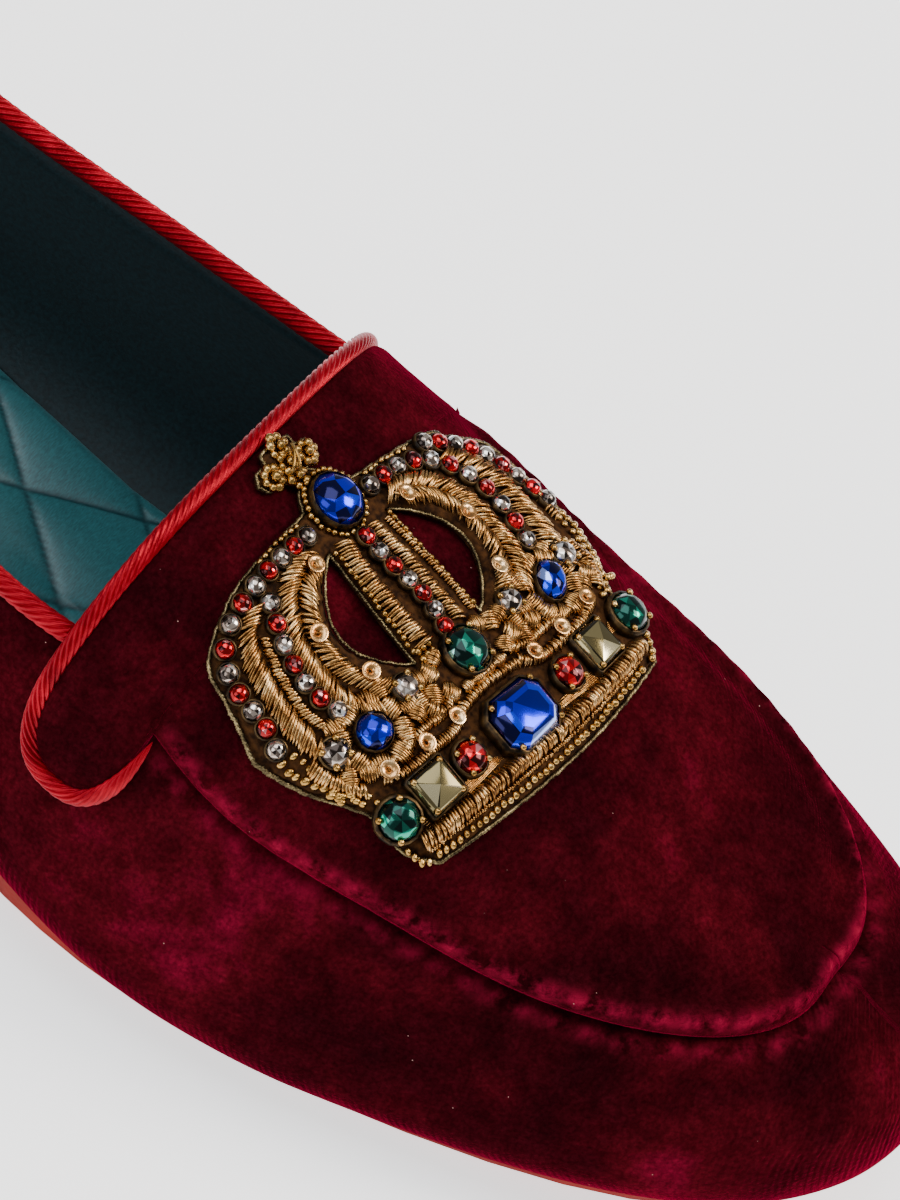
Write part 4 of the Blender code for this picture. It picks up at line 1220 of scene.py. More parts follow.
def on_crown(points):
    """Flat (u, v, w) to the shoe: blend the four grid corners round (u, v), then go w up the normal."""
    points = np.asarray(points, float)
    u = np.clip(points[..., 0] - grid_u[0], 0, len(grid_u) - 1.001)
    v = np.clip(points[..., 1] - grid_v[0], 0, len(grid_v) - 1.001)
    i, j = u.astype(int), v.astype(int)
    a, b = (u - i)[..., None], (v - j)[..., None]

    def blend(field):
        """The four corners, each weighted by the area opposite."""
        return ((1 - a) * (1 - b) * field[i, j] + a * (1 - b) * field[i + 1, j]
                + (1 - a) * b * field[i, j + 1] + a * b * field[i + 1, j + 1])

    return blend(crown_base) + blend(crown_normal) * points[..., 2:]


PATCH_TOP = 3.9
print("crown grid:", crown_base.shape)

# %% [markdown]
# ## Metal thread
#
# Goldwork is made of purl, a tiny coil of gilt wire that is cut and sewn down like a bead. Each
# piece shows as a bright little arch, and rows of them catch the light as ridges. Every arch is a
# real tube here, a few dozen faces each, because a bump map could not give the broken outline. The
# gilt is brown in shade and straw yellow in the light, so the metal's own colour varies from piece
# to piece by a noise.

# %% Gilt materials
def gilt_material(name, stops, roughness):
    """Gilt wire: metal, its tone from noise, fine coil marks as bump."""
    material, tree, shader = new_material(name, Metallic=1.0, Roughness=roughness)
    place = add_node(tree, 'ShaderNodeTexCoord')
    tone = add_node(tree, 'ShaderNodeTexNoise', {"Scale": per_metre(2.381), "Detail": 2.0},
                    {"Vector": place.outputs["Object"]})
    ramp = add_node(tree, 'ShaderNodeValToRGB', {}, {"Fac": tone.outputs["Fac"]})
    set_ramp(ramp, stops)
    tree.links.new(ramp.outputs["Color"], shader.inputs["Base Color"])
    coil = add_node(tree, 'ShaderNodeTexNoise', {"Scale": per_metre(0.3125), "Detail": 1.0},
                    {"Vector": place.outputs["Object"]})
    bump = add_node(tree, 'ShaderNodeBump', {"Strength": 0.35, "Distance": 0.0001},
                    {"Height": coil.outputs["Fac"]})
    tree.links.new(bump.outputs["Normal"], shader.inputs["Normal"])
    return material


# Thin gilding on copper wire is warm, on glass beads yellower, and the old cord has gone dull.
purl_tones = ((0.3, "#7c532a"), (0.5, "#ac7f48"), (0.7, "#dcb57c"))
bead_tones = ((0.3, "#8f6a34"), (0.55, "#b88f4e"), (0.75, "#e0bd7c"))
cord_tones = ((0.3, "#3f3626"), (0.5, "#6b5d40"), (0.7, "#a59268"))
sequin_tones = ((0.3, "#b07a44"), (0.5, "#d9a468"), (0.7, "#f3cf9a"))
gilt_purl = gilt_material("gilt_purl_wire", purl_tones, 0.26)
gilt_bead = gilt_material("gilt_glass_bead", bead_tones, 0.22)
gilt_cord = gilt_material("silver_gilt_cord", cord_tones, 0.4)
gilt_sequin = gilt_material("gilt_cup_sequin", sequin_tones, 0.25)

# %% Felt material
# Wool felt swallows light: no gloss, and a fluffy surface.
felt, tree, shader = new_material("backing_felt_brown", Roughness=0.95, Specular_IOR_Level=0.1)
place = add_node(tree, 'ShaderNodeTexCoord')
fluff = add_node(tree, 'ShaderNodeTexNoise', {"Scale": per_metre(1.111), "Detail": 3.0},
                 {"Vector": place.outputs["Object"]})
ramp = add_node(tree, 'ShaderNodeValToRGB', {}, {"Fac": fluff.outputs["Fac"]})
set_ramp(ramp, ((0.35, "#1c0e05"), (0.65, "#462a12")))
tree.links.new(ramp.outputs["Color"], shader.inputs["Base Color"])
bump = add_node(tree, 'ShaderNodeBump', {"Strength": 0.5, "Distance": 0.0003},
                {"Height": fluff.outputs["Fac"]})
tree.links.new(bump.outputs["Normal"], shader.inputs["Normal"])


# %% [markdown]
# ## Repeated small forms
#
# Hundreds of wires and beads would be slow as single objects. One small form is written as an array,
# each copy shifts that array, and together they are one mesh.

# %% Repeated small forms
def repeat_form(points, faces, count):
    """Faces of count copies whose points follow one another."""
    size = points.shape[1]
    offsets = (np.arange(count) * size)[:, None, None]
    return (faces[None] + offsets).reshape(-1, faces.shape[1])


def purl_bits(places, angles, lengths, radius, arch, base, dice, tilt=0.12):
    """Arched wires: the centre line is a parabola of given length and arch, with a round section."""
    count = len(places)
    share = np.linspace(-1, 1, 8)
    turn = np.linspace(0, 2 * math.pi, 5, endpoint=False)
    angles = angles + dice.normal(0, tilt, count)
    half = lengths[:, None] / 2 * share
    along = np.stack([np.cos(angles), np.sin(angles)], -1)
    side = np.stack([-np.sin(angles), np.cos(angles)], -1)
    height = base + arch * (1 - share**2) * dice.uniform(0.75, 1.2, (count, 1)) + radius
    thick = radius * np.sqrt(np.clip(1.02 - share**6, 0.02, 1))
    flat = places[:, None, :] + half[..., None] * along[:, None, :]
    sideways = (thick[:, None] * np.cos(turn))[None, :, :, None] * side[:, None, None, :]
    flat = flat[:, :, None, :] + sideways
    w = height[:, :, None] + (thick[:, None] * np.sin(turn))[None]
    points = np.concatenate([flat, w[..., None]], -1).reshape(count, -1, 3)
    cells = grid_faces(len(share), len(turn), wrap=True)
    return points, repeat_form(points, cells, count)


# %% Round beads
def bead_grains(centres, radii):
    """Round beads: rings of latitude squashed slightly, six by eight."""
    polar = np.linspace(0.02, math.pi - 0.02, 6)
    turn = np.linspace(0, 2 * math.pi, 8, endpoint=False)
    unit = np.stack([np.sin(polar)[:, None] * np.cos(turn), np.sin(polar)[:, None] * np.sin(turn),
                     np.cos(polar)[:, None] + 0 * turn], -1).reshape(-1, 3)
    points = centres[:, None] + unit * radii[:, None, None] * (1, 1, 0.9)
    cells = grid_faces(len(polar), len(turn), wrap=True, flip=True)
    return points, repeat_form(points, cells, len(centres))


# %% Join the copies and lay them on the shoe
def join(parts):
    """One list of points and one of faces from several."""
    points, faces, start = [], [], 0
    for part_points, part_faces in parts:
        part_points = part_points.reshape(-1, 3)
        points.append(part_points)
        faces.append(part_faces + start)
        start += len(part_points)
    return np.concatenate(points), np.concatenate(faces)


def crown_piece(name, parts, material, shade=True):
    """Lay flat parts on the shoe as one piece."""
    points, faces = join(parts)
    item = fill_mesh(name, on_crown(points), faces, material, shade=shade)
    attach(item, "root")
    print(name, len(item.data.polygons), "faces")
    return item


# %% Curves in the drawing
def curve_through(knots, count):
    """Smooth curve through flat points: a natural spline over the run between them."""
    knots = np.asarray(knots, float)
    run = np.concatenate([[0], np.cumsum(np.linalg.norm(np.diff(knots, axis=0), axis=1))])
    at = np.linspace(0, run[-1], count)
    return np.stack([natural_spline(run, knots[:, k], at) for k in range(2)], -1)


def spaced(path, pitch):
    """Points every pitch mm along a curve, and the direction of the curve there."""
    run = np.concatenate([[0], np.cumsum(np.linalg.norm(np.diff(path, axis=0), axis=1))])
    at = (np.arange(int(run[-1] / pitch)) + 0.5) * pitch
    places = np.stack([np.interp(at, run, path[:, k]) for k in range(2)], -1)
    slope = np.gradient(path, axis=0)
    heading = np.stack([np.interp(at, run, slope[:, k]) for k in range(2)], -1)
    return places, np.arctan2(heading[:, 1], heading[:, 0])


# %% [markdown]
# ## The backing
#
# Goldwork is sewn on stiff felt, cut close round the ornament, with a window between the arches and
# the middle bar on each side. The outline is a spline through a few knots, and the face is filled
# with small triangles so that it can follow the curve of the apron.

# %% Felt, outline and windows
ORB_ALONG = 38.4
ORB_RADIUS = 5.3
BASE_ALONG = -8.8
BASE_CURVE = 0.0042
CROSS_LEAN = np.array((-2.3, 0.6))
OUTLINE_COLUMNS = ("along", "inner_half", "outer_half")
CROWN_OUTLINE = np.array((
    (-5.8, 26.5, 25.0), (-1.5, 28.9, 29.0), (4.0, 28.4, 29.8), (8.0, 30.2, 30.6), (12.0, 32.6, 31.4),
    (17.0, 34.0, 31.3), (24.0, 33.8, 30.5), (30.0, 32.8, 29.9), (34.0, 30.0, 28.5), (37.0, 25.0, 23.5),
    (38.8, 18.5, 15.0), (39.5, 8.0, 7.0)))
CROSS_OUTLINE = ((2.2, 44.1), (5.6, 44.4), (6.6, 45.8), (5.8, 47.4), (3.4, 47.6), (3.2, 49.2), (0.0, 49.5))
WINDOW_LOW, WINDOW_HIGH = 14.4, 33.2
WINDOW_SHAPE = {INNER: (7.4, 0.5, 7.4), OUTER: (6.3, 1.2, 7.2)}


def outline_half(side):
    """Half of the outline upwards: parabola of the base, spline of the side, arc of the orb, cross."""
    column = OUTLINE_COLUMNS.index("inner_half" if side > 0 else "outer_half")
    base = np.linspace(0, CROWN_OUTLINE[0, column] - 1, 25)
    base_part = np.stack([base, BASE_ALONG + BASE_CURVE * base**2], -1)
    lowest, highest = CROWN_OUTLINE[0, 0], CROWN_OUTLINE[-1, 0]
    along = lowest + (highest - lowest) * np.sin(np.linspace(0, math.pi / 2, 61))
    half = natural_spline(CROWN_OUTLINE[:, 0], CROWN_OUTLINE[:, column], along)
    angle = np.radians(np.linspace(15, 62, 9))
    orb_part = np.stack([ORB_RADIUS * np.cos(angle), ORB_ALONG + ORB_RADIUS * np.sin(angle)], -1)
    top = np.array(CROSS_OUTLINE) + CROSS_LEAN * (side, 1)
    return np.concatenate([base_part, np.stack([half, along], -1), orb_part, top]) * (side, 1)


def crown_outline():
    """Closed outline: the right half, then the left half backwards."""
    return np.concatenate([outline_half(INNER), outline_half(OUTER)[-2:0:-1]])


# %% Windows
def crown_window(side):
    """Leaf-shaped opening: a leaning inner edge and a bulging outer one, power 0.8 of a sine."""
    near_at, lean, bulge = WINDOW_SHAPE[side]
    along = np.linspace(WINDOW_LOW, WINDOW_HIGH, 25)
    share = (WINDOW_HIGH - along) / (WINDOW_HIGH - WINDOW_LOW)
    near = near_at + lean * share
    far = near + bulge * np.sin(math.pi * share)**0.8
    loop = np.concatenate([np.stack([near, along], -1), np.stack([far, along], -1)[-2:0:-1]])
    return loop * (side, 1)


def inside(loop, points):
    """Even-odd test of points against a closed loop."""
    count = np.zeros(len(points), int)
    for a, b in zip(loop, np.roll(loop, -1, axis=0)):
        spans = (a[1] > points[:, 1]) != (b[1] > points[:, 1])
        rise = (b[1] - a[1]) if b[1] != a[1] else 1.0
        count += spans & (points[:, 0] < a[0] + (points[:, 1] - a[1]) / rise * (b[0] - a[0]))
    return count % 2 == 1


# %% Fill the felt
loops = [crown_outline(), crown_window(INNER), crown_window(OUTER)]
edge_points = np.concatenate(loops)
grid = np.stack(np.meshgrid(np.arange(-33, 35, 1.1), np.arange(-8, 50, 1.1)), -1).reshape(-1, 2)
apart = np.min(np.hypot(*(grid[:, None] - edge_points[None]).transpose(2, 0, 1)), axis=1)
keep = (apart > 0.6) & inside(loops[0], grid) & ~inside(loops[1], grid) & ~inside(loops[2], grid)
flat_points = np.concatenate([edge_points, grid[keep]])
edges, start = [], 0
for loop in loops:
    edges += [(start + k, start + (k + 1) % len(loop)) for k in range(len(loop))]
    start += len(loop)
made = delaunay_2d_cdt([Vector(point) for point in flat_points], edges, [], 0, 1e-4)
places = np.array([tuple(v) for v in made[0]])
corners = np.array(made[2])
middle = places[corners].mean(axis=1)
corners = corners[inside(loops[0], middle) & ~inside(loops[1], middle) & ~inside(loops[2], middle)]
one, two = (places[corners[:, k]] - places[corners[:, 0]] for k in (1, 2))
up_facing = one[:, 0] * two[:, 1] - one[:, 1] * two[:, 0] > 0
corners = np.where(up_facing[:, None], corners, corners[:, ::-1])
from_edge = np.min(np.hypot(*(places[:, None] - edge_points[None]).transpose(2, 0, 1)), axis=1)
roll = np.clip(from_edge / 1.4, 0, 1)
top = 2.9 + (PATCH_TOP - 2.9) * np.sqrt(1 - (1 - roll)**2)
backing = crown_piece("crown_felt", [(np.column_stack([places, top]), corners)], felt)
thicken(backing, 0.9)
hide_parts("crown_patch")

# %% [markdown]
# ## Rows of purl
#
# The arches are bands of slanted pieces laid in herringbone, the middle bar has pieces straight
# across it, and two rolls run along the base. Each row follows a smooth line through a few points
# of the drawing. Each half has a table of its own, because the ornament is not quite symmetric.

# %% Purl rows
PITCH = 0.47
WIRE = 0.25
dice = np.random.default_rng(4)


def purl_row(path, width, slant, arch=0.9, base=PATCH_TOP - 0.15, pitch=PITCH, wire=WIRE):
    """Pieces every pitch along a path, each turned from it by slant, long enough to cross the width."""
    places, heading = spaced(path, pitch)
    long = width / abs(math.sin(slant)) * dice.uniform(0.94, 1.06, len(places))
    wobble = dice.normal(0, 0.06, places.shape)
    return purl_bits(places + wobble, heading + slant, long, wire, arch, base, dice)


# %% Tables of rows
# Each row: width, slant to the run in radians, arch, then its knots; the outer side is the left half.
ROWS = {
    INNER: (
        (3.9, 2.2, 1.0, ((21.6, 34.6), (24.8, 31.8), (26.9, 27.6), (27.4, 22.4), (26.8, 16.6), (25.4, 11.0))),
        (3.2, 2.25, 1.0, ((8.6, 35.2), (13.6, 34.4), (17.9, 31.2), (19.9, 26.4), (20.1, 21.5),
                          (19.2, 16.5), (16.4, 13.0))),
        (3.0, 0.9, 0.9, ((9.6, 33.4), (13.9, 31.6), (16.9, 28.0), (17.8, 24.0), (17.4, 20.0),
                         (15.8, 16.6), (12.9, 14.0))),
        (2.6, 1.9, 0.9, ((28.6, 14.4), (28.8, 10.6), (26.6, 6.8))),
        (2.0, 1.2, 0.8, ((30.4, 27.6), (31.4, 23.6), (31.2, 18.0))),
    ),
    OUTER: (
        (2.9, 2.2, 1.0, ((-21.0, 34.2), (-24.2, 31.8), (-25.6, 27.8), (-26.0, 23.4), (-26.2, 19.0),
                         (-26.4, 14.6), (-25.6, 10.6))),
        (1.5, 1.0, 0.6, ((-22.6, 30.4), (-23.6, 26.0), (-24.0, 21.0), (-23.8, 16.6), (-22.8, 13.6))),
        (3.2, 2.25, 1.0, ((-9.8, 35.0), (-14.6, 33.7), (-18.0, 30.4), (-19.8, 26.0), (-20.0, 21.5),
                          (-19.4, 16.5), (-16.8, 12.8))),
        (3.0, 0.9, 0.9, ((-9.2, 33.2), (-12.9, 31.4), (-16.0, 27.8), (-17.1, 24.0), (-16.8, 20.0),
                         (-15.3, 16.6), (-12.9, 13.8))),
        (2.6, 1.9, 0.9, ((-28.4, 14.6), (-28.6, 10.6), (-27.0, 6.6))),
    ),
}
# The two rolls above the base row and the three rows of the middle bar: width, slant, arch, knots.
SIDE_ROLLS = (
    (2.1, 1.4, 0.9, ((6.4, 6.2), (9.5, 4.6), (15.0, 4.5), (21.0, 4.9), (24.8, 6.6))),
    (1.7, 1.2, 0.7, ((6.0, 8.6), (9.0, 7.2), (14.0, 7.3), (20.0, 7.0), (25.4, 8.8))),
)
BAR_ROWS = (
    (3.7, 1.42, 1.3, ((-3.4, 33.2), (-4.3, 29.0), (-4.5, 24.5), (-4.5, 20.0), (-4.4, 15.0))),
    (2.7, 1.25, 0.9, ((2.9, 33.0), (3.4, 28.0), (3.6, 22.0), (3.5, 15.0))),
    (1.2, 1.25, 0.5, ((5.7, 32.4), (6.3, 26.0), (6.7, 20.0), (6.6, 15.0))),
)

# %% Lay the rows
rows = []
for side, table in ROWS.items():
    for width, slant, arch, knots in table:
        path = curve_through(knots, 200)
        rows.append(purl_row(path, width, slant if side == OUTER else -slant, arch))
    for width, slant, arch, knots in SIDE_ROLLS:
        rows.append(purl_row(curve_through(knots, 160) * (side, 1), width, slant, arch))
for width, slant, arch, knots in BAR_ROWS:
    rows.append(purl_row(curve_through(knots, 200), width, slant, arch))
crown_piece("purl_arches", rows, gilt_purl)

# %% [markdown]
# ## Base rolls
#
# A thick roll and a thin one close the crown below its row of stones, and a short one lies above the
# middle stone. Longer pieces with a higher arch make them stand up like a cord.

# %% Base rolls
across = np.linspace(-25.6, 25.6, 300)
main_roll = np.stack([across, -4.7 + 0.0028 * across**2], -1)
thin_roll = np.stack([across * 0.97, -6.35 + 0.0032 * across**2], -1)
short = np.linspace(-6.6, 6.6, 60)
upper_roll = np.stack([short, 6.3 - 0.012 * short**2], -1)
rolls = crown_piece("purl_rolls", [
    purl_row(main_roll, 2.9, 1.50, 1.5, pitch=0.60, wire=0.30),
    purl_row(thin_roll, 0.8, 1.35, 0.5, pitch=0.45, wire=0.20),
    purl_row(upper_roll, 1.9, 1.3, 0.9, pitch=0.5),
], gilt_purl)
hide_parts("crown_band")

# %% [markdown]
# ## Petals and thread bundles
#
# Round each blue stone sit petals of purl, shorter pieces laid side by side with the longest in the
# middle. Between the stones of the base row lie straight bundles of gilt thread.

# %% Petals
def petal(u, v, heading, length, width):
    """Eight pieces side by side across a petal, each as long as an ellipse of that size is there."""
    offset = np.linspace(-0.88, 0.88, 8)
    place = np.array([u, v]) + offset[:, None] * width / 2 * np.array([-math.sin(heading), math.cos(heading)])
    long = length * np.sqrt(1 - offset**2 * 0.8)
    return purl_bits(place, np.full(8, heading), long, 0.22, 0.8, PATCH_TOP, dice, tilt=0.05)


# Loose petals on the inner half: u, v, heading in radians and length. The outer half mirrors them.
LOOSE_PETALS = (
    (9.2, 9.6, 0.6, 4.0), (6.6, 8.6, 2.4, 3.6), (13.4, 9.4, 1.1, 3.8), (7.4, 12.4, -0.5, 3.8),
    (10.8, 8.2, 2.6, 3.4), (16.8, 8.4, 0.4, 3.4), (24.8, 8.4, 2.2, 3.4), (5.2, 13.4, 1.2, 3.0),
    (15.3, 15.2, 0.2, 3.6), (23.4, 15.6, 1.9, 3.4), (13.8, 11.0, 1.6, 3.0), (9.6, 12.6, 1.9, 3.2),
    (11.4, 10.4, 0.1, 3.0), (27.0, 9.6, 0.8, 3.0), (25.0, 12.2, 0.2, 2.6))
petals = []
for side in (-1, 1):
    for angle in np.radians(np.arange(0, 360, 45) + 12):
        u, v = side * 20.3 + 4.5 * math.cos(angle), 11.4 + 4.3 * math.sin(angle)
        petals.append(petal(u, v, angle, 3.9, 3.0))
    for u, v, angle, length in LOOSE_PETALS:
        petals.append(petal(side * u, v, math.pi - angle if side < 0 else angle, length, 2.7))
for u in (-3.6, -1.2, 1.2, 3.6):
    petals.append(petal(u, 7.6, math.pi / 2, 2.2, 2.3))
crown_piece("purl_petals", petals, gilt_purl)

# %% Thread bundles
bundles = []
for side in (-1, 1):
    for low_u, high_u, v in ((6.4, 24.6, -2.5), (22.6, 25.0, 0.2)):
        for k in range(7):
            middle = np.array([[side * (low_u + high_u) / 2, v + 0.24 * k - 0.5 + 0.0022 * low_u**2]])
            lean = np.array([0.012 * side * (k - 3)])
            long = np.array([high_u - low_u - 0.3 * k])
            bundles.append(purl_bits(middle, lean, long, 0.13, 0.12, PATCH_TOP, dice, tilt=0.006))
crown_piece("gilt_thread_bundles", bundles, gilt_purl)

# %% [markdown]
# ## Beads and edge cord
#
# Small gilt beads trim the post, the orb and the outer edge, bigger ones make the cross. A thin
# silver-gilt cord runs round the patch and both windows.

# %% Beads
def bead_row(path, pitch, radius, height):
    """Beads along a flat path with small seeded shifts in place and size."""
    places, _ = spaced(path, pitch)
    places = places + dice.normal(0, 0.07, places.shape)
    lift = height + dice.normal(0, 0.08, len(places))
    return bead_grains(np.column_stack([places, lift]), radius * dice.uniform(0.88, 1.1, len(places)))


outline = crown_outline()
circle = np.linspace(0, 2 * math.pi, 120)
ring = np.stack([5.0 * np.cos(circle), ORB_ALONG + 5.0 * np.sin(circle)], -1)
beads = [bead_row(ring, 1.05, 0.52, PATCH_TOP + 0.35)]
LOWER_EDGE = {
    INNER: ((33.0, 19.0), (32.4, 15.0), (31.0, 11.0), (28.8, 7.4), (27.2, 4.6)),
    OUTER: ((-29.9, 18.0), (-30.2, 14.0), (-29.6, 9.6), (-28.9, 6.0), (-29.0, 4.6)),
}
for side in (INNER, OUTER):
    near_at, lean, _ = WINDOW_SHAPE[side]
    share = np.linspace(0, 1, 60)
    near = np.stack([side * (near_at + lean * share - 0.65), WINDOW_HIGH - 18.6 * share], -1)
    beads.append(bead_row(near, 1.05, 0.5, PATCH_TOP + 0.3))
    low_edge = curve_through(LOWER_EDGE[side], 120)
    beads.append(bead_row(low_edge, 1.25, 0.62, PATCH_TOP + 0.1))
    beads.append(bead_row(low_edge + (-side * 1.5, -0.4), 1.35, 0.55, PATCH_TOP + 0.3))
    corner = curve_through(((28.2, -1.6), (27.0, -4.2), (25.4, -5.6)), 60)
    beads.append(bead_row(corner * (side, 1), 1.25, 0.6, PATCH_TOP + 0.1))
    top_edge = curve_through(((7.6, 39.0), (12.5, 38.9), (17.5, 38.2)), 60)
    beads.append(bead_row(top_edge * (side, 1), 1.2, 0.5, PATCH_TOP + 0.1))
    cluster = np.array([side * 28.6, 8.6]) + dice.uniform(-1.7, 1.7, (16, 2))
    beads.append(bead_grains(np.column_stack([cluster, np.full(16, PATCH_TOP + 0.4)]), np.full(16, 0.6)))
across = np.linspace(-24.4, 24.4, 200)
beads.append(bead_row(np.stack([across, -7.55 + 0.0038 * across**2], -1), 1.28, 0.6, PATCH_TOP + 0.05))
foot = np.stack([np.linspace(-6.9, -2.6, 30), np.full(30, 14.2)], -1)
beads.append(bead_row(foot, 1.1, 0.62, PATCH_TOP + 0.4))
beads.append(bead_row(foot * (1, 0) + (0, 15.4), 1.15, 0.6, PATCH_TOP + 0.5))
crown_piece("gilt_beads", beads, gilt_bead)

# %% Cross
# The cross: the centre of each lobe and how many beads go round it.
LOBES = (((0.0, 46.2), 8), ((-4.0, 45.7), 8), ((4.0, 45.7), 8), ((0.0, 48.8), 7), ((0.0, 43.9), 6))
lobes = []
for centre, count in LOBES:
    angle = np.arange(count) * 2 * math.pi / count
    around = np.array(centre) + CROSS_LEAN + 1.45 * np.stack([np.cos(angle), np.sin(angle)], -1)
    flat = np.concatenate([around, [np.array(centre) + CROSS_LEAN]])
    height = PATCH_TOP - 0.1 + dice.uniform(0, 0.5, len(flat))
    height[-1] += 0.6
    lobes.append(bead_grains(np.column_stack([flat, height]), dice.uniform(0.66, 0.92, len(flat))))
ties = np.array([[0.0, 46.4], [0.5, 46.1]]) + CROSS_LEAN
lobes.append(purl_bits(ties, np.array([1.0, 1.15]), np.array([5.2, 4.8]), 0.28, 0.9, PATCH_TOP + 1.0, dice))
crown_piece("cross_beads", lobes, gilt_bead)


# %% [markdown]
# ## Edge cord
#
# A two-strand cord hides the cut edge of the felt. It is swept in the flat drawing and laid on the
# shoe afterwards, so it bends with the patch.

# %% Edge cord
def flat_rope(loop, radius, lead, height):
    """Two-strand cord round a flat loop: the rope's formula, on a path that wanders by 0.1 mm."""
    loop = np.concatenate([loop, loop[:1]])
    length = np.linalg.norm(np.diff(loop, axis=0), axis=1).sum()
    path, run = resample(np.column_stack([loop, np.full(len(loop), height)]), int(length / 0.3))
    wander = np.stack([wave_noise(run, 0 * run, 31, 2.1), wave_noise(run, 0 * run, 32, 1.7)], -1)
    path[:, :2] += 0.10 * wander
    points, _ = rope_grid(path, run, np.full(run.shape, radius), 2, lead, 0.35, 8)
    return points.reshape(-1, 3), grid_faces(len(run), 8, wrap=True, flip=True)


cords = [flat_rope(outline, 0.32, 1.3, 3.5)]
for side in (INNER, OUTER):
    cords.append(flat_rope(crown_window(side), 0.30, 1.2, 3.5))
crown_piece("silver_gilt_edge_cord", cords, gilt_cord)

# %% [markdown]
# ## Sequins
#
# A cup sequin is a small dished disc with a hole, sewn down with a bright bead; only the dished disc is drawn
# here.

# %% Sequins
SEQUINS = ((17.0, 26.0), (14.8, 17.6), (10.6, 33.2), (9.2, 5.6), (15.9, 5.8), (22.9, 6.8))
profile = np.array([(0.28, -0.30), (0.34, 0.02), (0.80, 0.22), (1.28, 0.42), (1.36, 0.34), (1.20, 0.10),
                    (0.6, -0.30)])
turn = np.linspace(0, 2 * math.pi, 16, endpoint=False)
dish = np.stack([profile[:, :1] * np.cos(turn), profile[:, :1] * np.sin(turn), profile[:, 1:] + 0 * turn], -1)
dish = dish.reshape(-1, 3)
spots = np.array([(side * u, v, PATCH_TOP + 1.25) for side in (-1, 1) for u, v in SEQUINS])
points = spots[:, None] + dish
cells = grid_faces(len(profile), len(turn), wrap=True, flip=True)
crown_piece("cup_sequins", [(points, repeat_form(points, cells, len(spots)))], gilt_sequin)

# %% [markdown]
# ## Cut stones
#
# The stones are foil-backed glass. Real glass would need traced refraction to show its facets; here
# each facet gets a painted tone of its own, from painted shade to a painted glint, and a polished face
# on top reflects the lamps. A stone stays rigid: it is placed by one frame on the crown, not bent with
# the cloth.

# %% Stone cuts
def circle_ring(count, radius, height, offset=0.0):
    """Points round a circle of given radius at a height, from an offset in steps."""
    angle = (np.arange(count) + offset) * 2 * math.pi / count
    return np.column_stack([radius * np.cos(angle), radius * np.sin(angle), np.full(count, height)])


def brilliant_cut(sides):
    """Round cut of unit size: table, star facets, kites, girdle facets, wall and flat back."""
    table = circle_ring(sides, 0.55, 1.0)
    middle = circle_ring(sides, 0.82, 0.72, 0.5)
    girdle = circle_ring(2 * sides, 1.0, 0.36)
    foot = circle_ring(2 * sides, 0.92, 0.0)
    points = np.concatenate([[[0, 0, 1.0]], table, middle, girdle, foot, [[0, 0, 0]]])
    k = np.arange(sides)
    t, t_next = 1 + k, 1 + (k + 1) % sides
    m, m_last = 1 + sides + k, 1 + sides + (k - 1) % sides
    g = 1 + 2 * sides + 2 * k
    g_half, g_next = g + 1, 1 + 2 * sides + (2 * k + 2) % (2 * sides)
    j = np.arange(2 * sides)
    w, w_next = 1 + 2 * sides + j, 1 + 2 * sides + (j + 1) % (2 * sides)
    b, b_next = w + 2 * sides, w_next + 2 * sides
    end = np.full(j.shape, len(points) - 1)
    faces = np.concatenate([np.stack(corners, -1) for corners in (
        (0 * k, t, t_next), (t, m, t_next), (t, m_last, g), (t, g, m), (m, g, g_half), (m, g_half, g_next),
        (w, b, b_next), (w, b_next, w_next), (end, b_next, b))])
    tone = np.concatenate([k, sides + k, 2 * sides + k, 2 * sides + k, 3 * sides + k, 4 * sides + k,
                           5 * sides + j, 5 * sides + j, 7 * sides + j])
    return points, faces, tone


# %% Step cut
def step_cut(corners, levels):
    """Step cut: the outline drawn in at each level, then a flat table; corners is (n, 2) in unit size."""
    count = len(corners)
    outline = np.asarray(corners)
    rings = [np.column_stack([outline * share, np.full(count, height)]) for share, height in levels]
    points = np.concatenate(rings + [[[0, 0, levels[-1][1]]], [[0, 0, levels[0][1]]]])
    k = np.arange(count)
    follow = (k + 1) % count
    faces, tone = [], []
    for level in range(len(levels) - 1):
        a, b = level * count + k, level * count + follow
        faces += [np.stack([a, b, b + count], -1), np.stack([a, b + count, a + count], -1)]
        tone += [level * count + k] * 2
    top = (len(levels) - 1) * count
    faces += [np.stack([np.full(count, len(points) - 2), top + k, top + follow], -1),
              np.stack([np.full(count, len(points) - 1), follow, k], -1)]
    tone += [top + (k > 2) * (k < 7), top + count + k]
    return points, np.concatenate(faces), np.concatenate(tone)


# %% Outlines and cuts
def cut_corners(long, short):
    """Eight corners of a unit square with its corners cut off."""
    return np.array([(1, -long), (1, long), (short, 1), (-short, 1), (-1, long), (-1, -long), (-short, -1),
                     (short, -1)])


OCTAGON = cut_corners(0.55, 0.62)
SQUARE = cut_corners(0.9, 0.9)
CUTS = {
    "round": brilliant_cut(8),
    "small": brilliant_cut(6),
    "octagon": step_cut(OCTAGON, ((0.93, 0.0), (1.0, 0.35), (0.86, 0.68), (0.7, 0.9), (0.52, 1.0))),
    "square": step_cut(SQUARE, ((0.93, 0.0), (1.0, 0.35), (0.80, 0.75), (0.72, 0.80), (0.01, 1.0))),
}


# %% [markdown]
# ## Glass and settings
#
# Each stone sits in a dark metal cup under gilt claws. Each facet draws one of five painted tones of
# its glass, from painted shade to a painted glint, with a seeded draw, so a stone looks the same each
# time.

